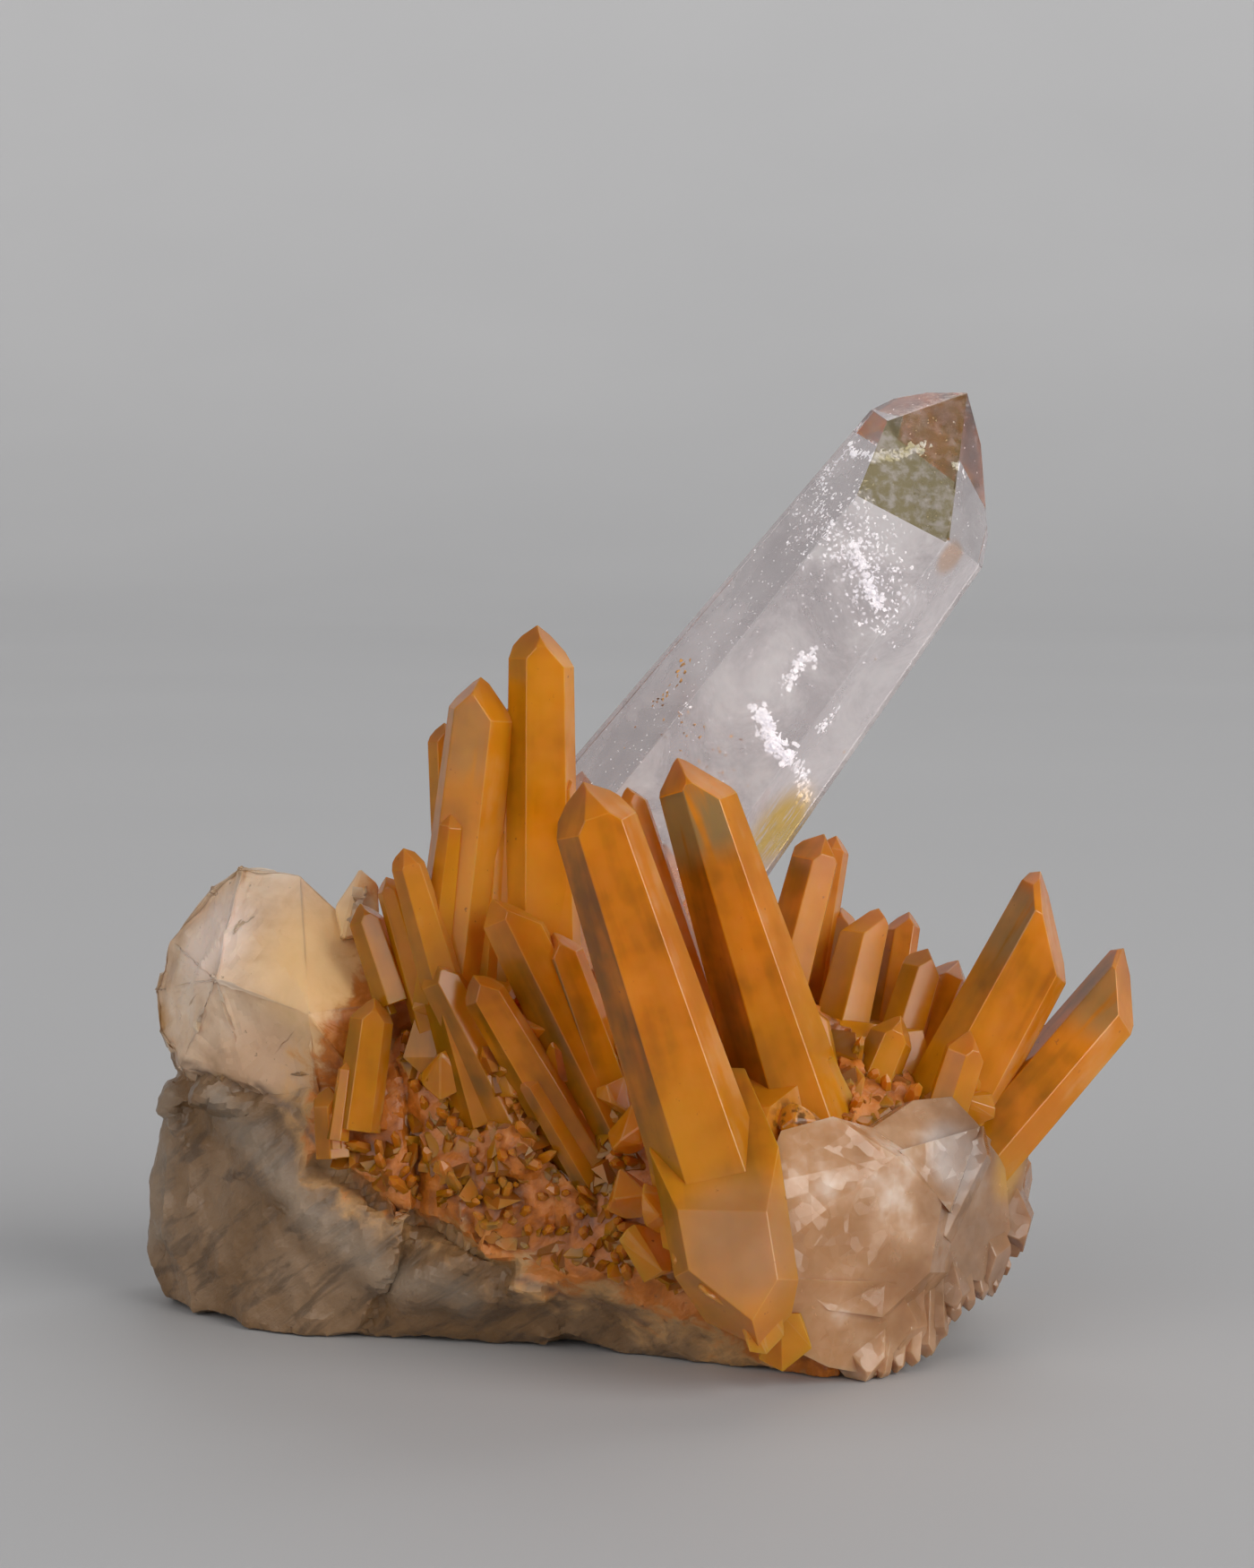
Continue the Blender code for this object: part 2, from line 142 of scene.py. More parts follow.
LEFT_POINTS = (
    Crystal((600, 697), -2, (604, 1150), -4, 9.2, 10, 0.8, -0.04, 0.9, 11),
    Crystal((574, 785), 0, (552, 1110), -2, 7.0, -10, 1.4, 0.0, 0.9, 12),
    Crystal((537, 755), -3, (500, 1110), -3, 9.4, -14, 1.0, -0.06, 0.9, 13),
    Crystal((496, 806), 6, (512, 1080), 4, 5.0, 5, 1.0, 0.0, 1.0, 14),
    Crystal((450, 946), -8, (540, 1250), -6, 4.8, 14, 2.4, 0.0, 0.9, 15),
    Crystal((431, 978), -2, (480, 1150), -4, 4.0, -8, 1.0, 0.0, 1.0, 16),
    Crystal((550, 1003), -10, (706, 1300), -11, 8.2, 24, 1.0, -0.10, 0.8, 17),
    Crystal((528, 1088), -13, (660, 1310), -12, 6.4, 10, 1.6, 0.0, 0.8, 18),
    Crystal((480, 1070), -8, (600, 1300), -8, 6.4, 24, 1.2, 0.0, 0.9, 19),
    Crystal((618, 1040), -10, (690, 1240), -11, 6.0, 10, 1.4, 0.0, 0.9, 20),
)
LEFT_ROOT = (
    (470, 1110, 4), (480, 1080, -4), (620, 1050, -2), (690, 1180, -13), (700, 1290, -12),
    (560, 1280, -9), (450, 1180, -6), (610, 1080, 12), (480, 1140, 10), (640, 1300, -4),
)
RIGHT_POINTS = (
    Crystal((1162, 972), 0, (1024, 1300), -6, 12.8, 8, 0.6, -0.34, 0.85, 41),
    Crystal((1255, 1058), 6, (1078, 1310), -6, 10.2, -6, 0.3, -0.36, 0.9, 42),
    Crystal((1084, 1150), -10, (1036, 1300), -10, 6.0, 30, 1.0, 0.0, 1.0, 44),
)
RIGHT_ROOT = (
    (1030, 1220, -8), (1090, 1200, -10), (1120, 1250, -4), (1100, 1300, -6), (1020, 1310, -8),
    (1040, 1230, 4), (1100, 1290, 8), (1030, 1300, 4),
)
BACK_RIGHT_POINTS = (
    Crystal((920, 930), 8, (862, 1140), 4, 7.6, 26, 1.4, 0.05, 1.0, 31),
    Crystal((934, 932), 14, (900, 1120), 10, 5.0, 10, 0.8, 0.05, 1.0, 32),
    Crystal((981, 1013), 8, (920, 1220), 0, 7.2, 30, 2.4, 0.16, 1.0, 33),
    Crystal((940, 1012), 14, (930, 1160), 10, 4.6, -6, 1.0, 0.0, 1.0, 34),
    Crystal((1015, 1017), 16, (984, 1180), 10, 4.8, 4, 1.0, 0.1, 1.0, 35),
    Crystal((1036, 1058), 6, (986, 1220), 0, 6.4, 20, 1.2, 0.0, 1.0, 36),
    Crystal((1070, 1071), 12, (998, 1220), 4, 7.4, 12, 1.0, 0.1, 1.0, 37),
    Crystal((1006, 1133), -4, (952, 1260), -8, 6.4, 8, 1.2, 0.0, 1.0, 38),
)
BACK_RIGHT_ROOT = (
    (880, 1130, 0), (940, 1160, -6), (1030, 1150, -2), (1046, 1210, -4), (960, 1250, -8),
    (870, 1150, 14), (1030, 1190, 18), (940, 1130, 18),
)
REAR_POINTS = (
    Crystal((650, 905), 42, (640, 1180), 28, 10.0, 20, 1.2, 0.0, 1.0, 51),
    Crystal((570, 930), 40, (600, 1170), 26, 8.0, 5, 1.2, 0.0, 1.0, 52),
    Crystal((742, 940), 42, (700, 1180), 28, 9.0, 25, 1.2, 0.0, 1.0, 53),
    Crystal((860, 1010), 40, (780, 1210), 28, 8.0, 14, 1.2, 0.0, 1.0, 54),
    Crystal((500, 1020), 38, (560, 1200), 26, 6.0, 24, 1.2, 0.0, 1.0, 55),
    Crystal((700, 1090), 42, (700, 1230), 30, 7.0, 24, 1.2, 0.0, 1.0, 56),
)
REAR_ROOT = (
    (560, 1120, 20), (800, 1130, 22), (540, 1190, 36), (820, 1190, 36), (600, 1110, 32),
    (760, 1120, 34), (560, 1250, 20), (820, 1250, 22),
)
PALE_POINTS = (
    Crystal((962, 1552), -24, (958, 1300), -18, 10.0, 12, 0.4, 0.1, 0.8, 61),
    Crystal((1004, 1526), -20, (975, 1290), -16, 8.0, -14, 0.8, -0.1, 0.8, 62),
    Crystal((1040, 1514), -14, (1000, 1290), -12, 8.0, 20, 0.6, 0.0, 0.9, 63),
    Crystal((1066, 1474), -14, (1010, 1290), -12, 8.0, 8, 0.6, 0.1, 0.9, 64),
    Crystal((1108, 1448), -6, (1040, 1280), -6, 9.0, -10, 0.8, -0.1, 0.9, 65),
    Crystal((1142, 1398), -2, (1080, 1260), -2, 8.0, 16, 0.8, 0.0, 0.9, 66),
    Crystal((1146, 1350), 6, (1070, 1250), 4, 9.0, 6, 0.8, 0.0, 0.9, 67),
    Crystal((1098, 1256), -13, (1030, 1370), -17, 8.4, 12, 1.6, 0.1, 0.8, 68),
)
PALE_ROOT = (
    (916, 1267, -23), (987, 1287, -24), (1060, 1290, -16), (1149, 1287, -4), (1130, 1380, -2),
    (1080, 1440, -8), (956, 1520, -26), (912, 1417, -26), (960, 1300, -8), (900, 1480, -14),
    (930, 1440, -26), (1010, 1330, -22), (1080, 1250, 0),
)

# The three golden points beside the upper left block, and that block and its neighbour
MATRIX_POINTS = (
    Crystal((418, 1113), -5, (398, 1262), -8, 6.4, 10, 0.8, 0.0, 0.9, 71),
    Crystal((367, 1212), -6, (372, 1292), -7, 4.8, 30, 0.8, 0.0, 1.0, 72),
    Crystal((402, 1008), -1, (440, 1120), -3, 5.0, 16, 1.0, 0.0, 1.0, 73),
)
UPPER_BLOCK = (
    (268, 966, 13), (335, 976, 9), (383, 1018, 7), (462, 1115, 2), (470, 1185, 0), (440, 1262, -2),
    (356, 1272, 0), (275, 1211, 3), (201, 1190, 10), (176, 1150, 17), (172, 1105, 19), (190, 1050, 18),
    (235, 990, 16), (238, 1092, 2), (345, 1132, -5), (300, 1010, 34),
    (220, 1100, 38), (420, 1130, 36), (230, 1250, 34), (430, 1270, 34),
)
SMALL_WHITE_BLOCK = (
    (370, 1010, 6), (402, 966, 8), (424, 985, 8), (428, 1040, 4), (380, 1050, 2), (390, 1000, 14),
    (420, 1060, 14), (372, 1060, 12),
)

# How strongly an olive window shows in a point, by the point's seed
WINDOWS = {22: 0.85, 41: 0.6, 42: 0.6, 13: 0.35, 20: 0.4}
BROAD_POINT = 25  # the seed of the broad front point, which has a broken face and stands alone
TIP_FACET_PX = ((1040, 452), (962, 556), (1060, 600))

# Drawn on the broken quartz, by the photograph's pixels
STAIN_PX = (
    (452, 940), (412, 1095), (366, 1180), (360, 1262), (400, 1305), (470, 1345), (560, 1388), (650, 1425),
    (740, 1442), (850, 1505), (940, 1545), (1000, 1300), (1200, 1300), (1300, 900), (900, 760), (500, 760),
)
# Cracks, cut as grooves and darkened with painted shade
CRACKS_PX = (
    ((185, 1178), (201, 1190), (275, 1211), (330, 1240), (356, 1272)),
    ((350, 1295), (400, 1325), (464, 1356), (519, 1390), (546, 1414)),
    ((170, 1130), (178, 1150), (196, 1188)),
    ((560, 1424), (640, 1446), (720, 1474)),
)
# The recess above the band, sunk and darkened with painted shade
RECESS_PX = ((352, 1300), (400, 1332), (464, 1368), (519, 1400), (560, 1424))
# Pale bands; the third path runs along the ridges of the upper left block as a painted highlight
BANDS_PX = (
    ((241, 1218), (300, 1300), (343, 1353), (424, 1420), (519, 1447)),
    ((186, 1200), (172, 1290), (166, 1380)),
    ((235, 975), (190, 1050), (180, 1100), (260, 1060), (335, 985)),
    ((375, 985), (402, 970), (420, 985)),
)

# Lumps of crystal round the roots: pixel, depth and width
FRONT_LUMPS = (
    (846, 1474, -36, 9.0), (800, 1450, -36, 8.0), (888, 1262, -23, 8.0), (738, 1345, -28, 8.0),
    (702, 1330, -22, 8.0), (872, 1492, -31, 9.0), (722, 1395, -26, 9.0), (760, 1250, -27, 7.0),
    (700, 1260, -20, 8.0), (775, 1410, -33, 8.0),
)
LEFT_LUMPS = (
    (520, 1060, -4, 7.0), (560, 1110, -8, 8.0), (600, 1150, -10, 9.0), (640, 1180, -12, 8.0),
    (520, 1150, -8, 8.0), (580, 1210, -11, 9.0), (640, 1250, -13, 9.0), (500, 1200, -8, 8.0),
    (690, 1230, -15, 7.0), (480, 1120, -6, 6.0),
)
RIGHT_LUMPS = (
    (1040, 1250, -9, 8.0), (1085, 1235, -10, 7.0), (1010, 1270, -11, 7.0), (1120, 1270, -6, 7.0),
)

# The broken planes of the foot, and the ribs of its fan
FOOT_BLOCKS = (
    (
        (872, 1262, -27), (930, 1246, -25), (1000, 1290, -26), (1052, 1340, -22), (1038, 1420, -23),
        (985, 1470, -27), (925, 1462, -30), (858, 1400, -33), (850, 1320, -31), (880, 1290, -10),
        (1085, 1290, -8), (1085, 1420, -8), (920, 1460, -10),
    ),
    (
        (1004, 1284, -24), (1094, 1258, -15), (1060, 1352, -22), (1020, 1290, -8), (1100, 1275, -4),
        (1070, 1360, -8),
    ),
    (
        (960, 1268, -22), (1020, 1228, -15), (1062, 1224, -13), (1094, 1258, -14), (1012, 1300, -23),
        (980, 1240, -4), (1080, 1240, -2), (1090, 1270, -2), (990, 1300, -6),
    ),
    (
        (1050, 1320, -21), (1094, 1262, -14), (1122, 1300, -8), (1128, 1372, -6), (1096, 1430, -10),
        (1036, 1420, -20), (1020, 1380, -8), (1120, 1370, 6), (1060, 1430, 0),
    ),
    (
        (856, 1425, -33), (940, 1430, -30), (1000, 1430, -26), (1024, 1476, -22), (978, 1535, -24),
        (925, 1526, -28), (872, 1500, -31), (890, 1440, -12), (1010, 1460, -8), (950, 1520, -12),
    ),
    (
        (1096, 1262, -11), (1125, 1290, -4), (1118, 1340, -4), (1088, 1300, -13), (1100, 1270, 6),
        (1125, 1310, 6),
    ),
)
RIB_TIPS = (
    (982, 1543, -23), (1000, 1534, -21), (1018, 1526, -20), (1034, 1516, -17), (1050, 1496, -16),
    (1066, 1476, -15), (1082, 1464, -12), (1097, 1452, -9), (1111, 1444, -6), (1124, 1424, -4),
    (1136, 1404, -2), (1145, 1380, 0), (1149, 1350, 3),
)
RIBS = tuple(
    Crystal(
        (x, y), depth, (1035 + (x - 1035) * 0.45, 1330 - (x - 1035) * 0.3), depth + 2, 3.0, 17 * step,
        0.3, 0.1, 1.2, 81 + step,
    )
    for step, (x, y, depth) in enumerate(RIB_TIPS)
)

# Where crumbs grow
SLOPE_PX = (
    (390, 1150), (470, 1110), (600, 1230), (700, 1310), (760, 1400), (850, 1440), (860, 1480), (740, 1430),
    (600, 1400), (480, 1345), (380, 1290),
)

# Inside the clear point: how many, along which path, how far off it in pixels, how deep and
# how wide in millimetres, and how much each one is turned
VEIL_BEDS = (
    (150, ((946, 503), (975, 512), (1005, 508), (1036, 498)), 3.0, (0.6, 1.6), (0.3, 1.2), 0.5),
    (650, ((905, 575), (940, 600), (975, 640), (985, 690)), 24.0, (0.6, 4.0), (0.15, 0.8), 1.0),
    (90, ((955, 605), (968, 650), (978, 680)), 3.0, (0.5, 1.0), (0.4, 1.2), 0.5),
    (
        380, ((846, 792), (858, 812), (864, 832), (882, 846), (893, 868), (899, 895)), 5.0,
        (0.5, 1.2), (0.4, 1.2), 0.4,
    ),
    (90, ((876, 764), (890, 745), (906, 728)), 5.0, (0.5, 1.5), (0.3, 1.0), 0.4),
    (60, ((912, 814), (922, 802), (932, 790)), 3.0, (0.5, 1.5), (0.3, 0.9), 0.4),
    (110, ((905, 555), (930, 522), (960, 500)), 7.0, (0.6, 2.0), (0.2, 0.7), 0.8),
    (80, ((1066, 518), (1078, 534)), 2.5, (0.5, 1.0), (0.3, 0.8), 0.4),
    (90, ((690, 860), (780, 740), (870, 620), (940, 540)), 12.0, (0.5, 2.5), (0.1, 0.5), 1.2),
    (160, ((1095, 640), (1060, 700), (1000, 790), (930, 900)), 9.0, (0.5, 3.0), (0.1, 0.5), 1.0),
    (700, ((680, 960), (820, 760), (980, 600), (1050, 520)), 55.0, (0.6, 9.0), (0.08, 0.35), 1.5),
)
SPECK_BEDS = (
    (16, ((969, 738), (980, 736), (990, 746)), 3.0, (0.4, 0.8), (0.3, 0.8), 0.5),
    (40, ((766, 737), (758, 760), (741, 782), (738, 790)), 3.0, (0.4, 1.2), (0.4, 1.1), 0.5),
    (34, ((716, 825), (745, 800), (775, 830), (800, 850), (822, 870)), 15.0, (0.4, 1.5), (0.25, 0.7), 0.5),
    (12, ((1058, 606), (1062, 598)), 3.0, (0.4, 0.8), (0.2, 0.5), 0.5),
    (12, ((926, 838), (948, 840)), 4.0, (0.4, 0.9), (0.3, 0.7), 0.5),
)


def viewer():
    """The eye's place, and the ways ahead and up in the photograph."""
    eye = Vector((0.0, -FOCUS_DISTANCE * math.cos(LOOK_DOWN), EYE_HEIGHT)) - MIDDLE
    ahead = Vector((0.0, math.cos(LOOK_DOWN), -math.sin(LOOK_DOWN)))
    return eye, ahead, Vector((0.0, math.sin(LOOK_DOWN), math.cos(LOOK_DOWN)))


def ray_to(pixel):
    """The way from the eye through a pixel."""
    _, ahead, up = viewer()
    across = (pixel[0] - PHOTO_CENTRE_PX[0]) / FOCAL_PX
    rise = (PHOTO_CENTRE_PX[1] - pixel[1]) / FOCAL_PX
    return ahead + across * RIGHT + rise * up


def seen(pixel, depth):
    """The place that shows at a pixel, at a depth in millimetres behind the focus."""
    eye = viewer()[0]
    ray = ray_to(pixel)
    return eye + ray * ((depth * MM - MIDDLE.y - eye.y) / ray.y)


def set_camera():
    camera = bpy.data.cameras.new("camera")
    camera.sensor_fit = "VERTICAL"
    camera.sensor_height = SENSOR_MM
    camera.lens = LENS_MM
    camera.clip_start = 0.01
    holder = bpy.data.objects.new("camera", camera)
    holder.location = viewer()[0]
    holder.rotation_euler = (math.pi / 2 - LOOK_DOWN, 0.0, 0.0)
    bpy.context.scene.collection.objects.link(holder)
    bpy.context.scene.camera = holder


# Node helpers


def put(node, **numbers):
    """Sets sockets by their names, with a low line for each space."""
    for name, number in numbers.items():
        node.inputs[name.replace("_", " ")].default_value = number


class Finish:
    """A material with its Principled shader, and short names for the nodes that feed it."""

    def __init__(self, name):
        self.material = bpy.data.materials.new(name)
        self.material.use_nodes = True
        self.tree = self.material.node_tree
        self.shader = self.tree.nodes["Principled BSDF"]
        self.place = self.add("TexCoord").outputs["Object"]

    def add(self, kind, *links, **values):
        """A node, with some outputs linked to its first sockets."""
        node = self.tree.nodes.new("ShaderNode" + kind)
        for key, value in values.items():
            setattr(node, key, value)
        for socket, output in zip(node.inputs, links):
            self.tree.links.new(output, socket)
        return node

    def link(self, **outputs):
        """Links outputs to the shader's sockets by their names."""
        for name, output in outputs.items():
            self.tree.links.new(output, self.shader.inputs[name.replace("_", " ")])

    def map_parts(self, name):
        """The two numbers that a piece's map of that name holds."""
        return self.add("SeparateXYZ", self.add("UVMap", uv_map=name).outputs[0]).outputs[:2]

    def stretched(self, scale):
        """The grain of a point, drawn out along one way."""
        node = self.add("Mapping", self.add("UVMap", uv_map="grain").outputs[0])
        put(node, Scale=scale)
        return node.outputs[0]

    def noise(self, scale, detail=4.0, roughness=0.5, distortion=0.0, place=None):
        node = self.add("TexNoise", self.place if place is None else place)
        put(node, Scale=scale, Detail=detail, Roughness=roughness, Distortion=distortion)
        return node.outputs["Fac"]

    def span(self, value, low, high, to_low=0.0, to_high=1.0, smooth=True):
        """The value carried from one range to another, and held at its ends."""
        node = self.add("MapRange", value)
        node.interpolation_type = "SMOOTHSTEP" if smooth else "LINEAR"
        for index, number in enumerate((low, high, to_low, to_high), 1):
            node.inputs[index].default_value = number
        return node.outputs["Result"]

    def calc(self, operation, *values):
        node = self.add("Math", operation=operation)
        for socket, value in zip(node.inputs, values):
            self.fill(socket, value)
        return node.outputs[0]

    def fill(self, socket, value):
        """Gives a socket a number, a colour or an output."""
        if isinstance(value, (int, float)):
            socket.default_value = value
        elif isinstance(value, tuple):
            socket.default_value = (*value, 1.0)
        else:
            self.tree.links.new(value, socket)

    def times(self, first, second):
        return self.calc("MULTIPLY", first, second)

    def plus(self, first, second):
        return self.calc("ADD", first, second)

    def swing(self, value, reach):
        """A value about a half, made a swing about nothing."""
        return self.times(self.calc("SUBTRACT", value, 0.5), reach)

    def mix(self, share, first, second, strength=None):
        """Two colours mixed by a share, or by a part of that share."""
        if strength is not None:
            share = self.times(share, strength)
        node = self.add("Mix", data_type="RGBA")
        for index, value in ((0, share), (6, first), (7, second)):
            self.fill(node.inputs[index], value)
        return node.outputs[2]

    def ramp(self, value, *stops):
        node = self.add("ValToRGB", value)
        while len(node.color_ramp.elements) < len(stops):
            node.color_ramp.elements.new(0.5)
        for element, (position, colour) in zip(node.color_ramp.elements, stops):
            element.position = position
            element.color = (*colour, 1.0)
        return node.outputs["Color"]

    def bump(self, height, distance, strength, under=None):
        node = self.add("Bump")
        put(node, Strength=strength, Distance=distance)
        self.tree.links.new(height, node.inputs["Height"])
        if under is not None:
            self.tree.links.new(under, node.inputs["Normal"])
        return node.outputs["Normal"]

    def near(self, pixel, depth, low, high):
        """One near the place that shows at a pixel, and nothing farther from it than high."""
        away = self.add("VectorMath", self.place, operation="DISTANCE")
        away.inputs[1].default_value = seen(pixel, depth)
        return self.span(away.outputs["Value"], low, high, 1.0, 0.0)

    def facets(self, scale):
        """A height that is flat and tilted within each of many small cells, as on broken crystal."""
        cells = self.add("TexVoronoi", self.place)
        put(cells, Scale=scale)
        away = self.add("VectorMath", self.place, cells.outputs["Position"], operation="SUBTRACT")
        tilt = self.add("VectorMath", cells.outputs["Color"], operation="SUBTRACT")
        tilt.inputs[1].default_value = (0.5, 0.5, 0.5)
        slope = self.add("VectorMath", away.outputs[0], tilt.outputs[0], operation="DOT_PRODUCT")
        return slope.outputs["Value"]

    def quartz(self, weight, radius, scale):
        """What all the quartz shares: how it bends light, and how it scatters it below the surface."""
        put(
            self.shader, IOR=QUARTZ_IOR, Subsurface_Weight=weight, Subsurface_Radius=radius,
            Subsurface_Scale=scale,
        )

    def absorb(self, colour, density):
        """Plain absorption inside a clear solid."""
        volume = self.add("VolumeAbsorption")
        put(volume, Color=(*colour, 1.0), Density=density)
        self.tree.links.new(volume.outputs[0], self.tree.nodes["Material Output"].inputs["Volume"])


# Materials


def golden_quartz(name, yellowness, clarity=1.0, brown=0.0):
    """Amber quartz: olive on one side of a point and golden and peach on the other, which is painted shade
    and painted light, red at the tip, and with a painted glow low on the tall left points.
    """
    f = Finish(name)
    along = f.map_parts("grain")[1]
    tone, window = f.map_parts("tone")
    clouds = f.noise(90.0, 3.0)
    patches = f.noise(260.0, 3.0)
    veils = f.noise(1.0, 3.0, 0.5, 0.3, f.stretched((420.0, 60.0, 1.0)))
    shift = f.plus(f.span(clouds, 0.3, 0.7, -0.12, 0.12), f.span(patches, 0.3, 0.7, -0.08, 0.08))
    shift = f.plus(shift, f.span(veils, 0.3, 0.7, -0.10, 0.10))
    # The face tone, lighter to the right and darker to the left, gives painted light and shade
    colour = f.ramp(
        f.plus(tone, shift),
        (0.00, (0.27, 0.125, 0.002)),
        (0.24, (0.50, 0.19, 0.002)),
        (0.50, (0.80, 0.28, 0.003)),
        (0.75, (0.86, 0.31, 0.018)),
        (1.00, (0.88, 0.41, 0.13)),
    )
    yellow = f.span(f.noise(24.0, 1.0), 0.40, 0.60)
    colour = f.mix(yellow, colour, (0.80, 0.36, 0.004), yellowness)
    reach = f.times(f.span(along, 0.002, 0.004), f.span(along, 0.011, 0.016, 1.0, 0.0))
    olive = f.times(window, f.times(reach, f.span(veils, 0.3, 0.5)))
    colour = f.mix(olive, colour, (0.30, 0.25, 0.12))
    # Painted light: a yellow glow that brightens the low part of the tall left points
    colour = f.mix(f.near((566, 1010), -4, 0.004, 0.014), colour, (0.98, 0.47, 0.04), 0.7)
    tip = f.times(f.span(along, 0.0004, 0.0050, 1.0, 0.0), f.span(clouds, 0.3, 0.6, 0.5, 1.0))
    colour = f.mix(tip, colour, (0.60, 0.20, 0.05), 0.55)
    peach = f.times(f.near((835, 1385), -35, 0.004, 0.0115), f.span(clouds, 0.3, 0.6, 0.65, 0.95))
    colour = f.mix(peach, colour, (0.66, 0.34, 0.14))
    pitted = f.times(f.near((888, 1258), -23, 0.002, 0.005), f.span(f.noise(700.0), 0.45, 0.6))
    colour = f.mix(pitted, colour, (0.22, 0.09, 0.01))
    dots = f.times(f.span(f.noise(1200.0, 2.0), 0.70, 0.76), f.span(clouds, 0.5, 0.6))
    colour = f.mix(dots, colour, (0.12, 0.05, 0.02), 0.6)
    if brown:
        colour = f.mix(brown, colour, (0.42, 0.11, 0.006))
    growth_lines = f.noise(1.0, 3.0, 0.6, place=f.stretched((25.0, 1500.0, 1.0)))
    f.link(
        Base_Color=colour,
        Roughness=f.span(patches, 0.3, 0.75, 0.16, 0.26),
        Transmission_Weight=f.span(clouds, 0.3, 0.7, 0.52 * clarity, 0.38 * clarity),
        Normal=f.bump(patches, 0.0001, 0.25, f.bump(growth_lines, 0.00002, 0.1)),
    )
    f.quartz(0.6, (1.0, 0.42, 0.12), 0.004)
    put(f.shader, Specular_IOR_Level=0.26)
    f.absorb((1.0, 0.66, 0.08), 90.0)
    return f.material


def clear_quartz():
    """Colourless quartz with hazy patches, fine growth lines and a yellow root, with a painted olive
    refraction on its tip facet and a painted pink reflection on its right face.
    """
    f = Finish("clear_quartz")
    olive, haze = f.map_parts("tone")
    clouds = f.noise(75.0, 6.0, 0.62, 0.6)
    fine = f.noise(600.0, 4.0, 0.6)
    growth_lines = f.noise(1.0, 3.0, 0.55, place=f.stretched((30.0, 1500.0, 1.0)))
    streaks = f.noise(1.0, 4.0, 0.6, place=f.stretched((1600.0, 160.0, 1.0)))
    colour = f.ramp(clouds, (0.3, (0.72, 0.66, 0.67)), (0.7, (0.92, 0.88, 0.89)))
    # Painted refraction: olive on the front tip facet, standing in for the golden points seen through it
    colour = f.mix(f.times(olive, f.span(fine, 0.3, 0.6, 0.6, 1.0)), colour, (0.27, 0.22, 0.09))
    # Painted reflection: pink on the lit right face, standing in for the golden points reflected in it
    colour = f.mix(f.near((1072, 628), 10, 0.0025, 0.0040), colour, (0.70, 0.42, 0.26), 0.9)
    root = f.times(f.near((884, 935), 14, 0.004, 0.0095), f.span(streaks, 0.30, 0.5))
    colour = f.mix(root, colour, (0.86, 0.50, 0.04))
    hazy = f.times(haze, f.span(clouds, 0.34, 0.62, 0.35, 1.0))
    f.link(
        Base_Color=colour,
        Transmission_Weight=f.span(hazy, 0.0, 1.0, 0.99, 0.52, smooth=False),
        Roughness=f.span(fine, 0.35, 0.8, 0.01, 0.05),
        Normal=f.bump(fine, 0.00003, 0.05, f.bump(growth_lines, 0.00002, 0.08)),
    )
    f.quartz(0.5, (1.0, 0.9, 0.9), 0.005)
    f.absorb((0.97, 0.95, 0.96), 10.0)
    return f.material


def veil_white_painted_glow():
    """The white fractures inside the clear point, made bright by a painted glow."""
    f = Finish("veil_white_painted_glow")
    f.link(Base_Color=f.ramp(f.noise(400.0), (0.3, (0.80, 0.80, 0.84)), (0.7, (0.97, 0.96, 0.97))))
    # Painted glow: the fractures shine a little though they are no lamp
    put(f.shader, Roughness=0.3, Emission_Color=(0.90, 0.92, 1.0, 1.0), Emission_Strength=0.22)
    return f.material


def rust():
    """The orange and brown specks inside the clear point."""
    f = Finish("rust")
    f.link(Base_Color=f.ramp(f.noise(900.0), (0.35, (0.22, 0.08, 0.02)), (0.65, (0.85, 0.42, 0.06))))
    put(f.shader, Roughness=0.6)
    return f.material


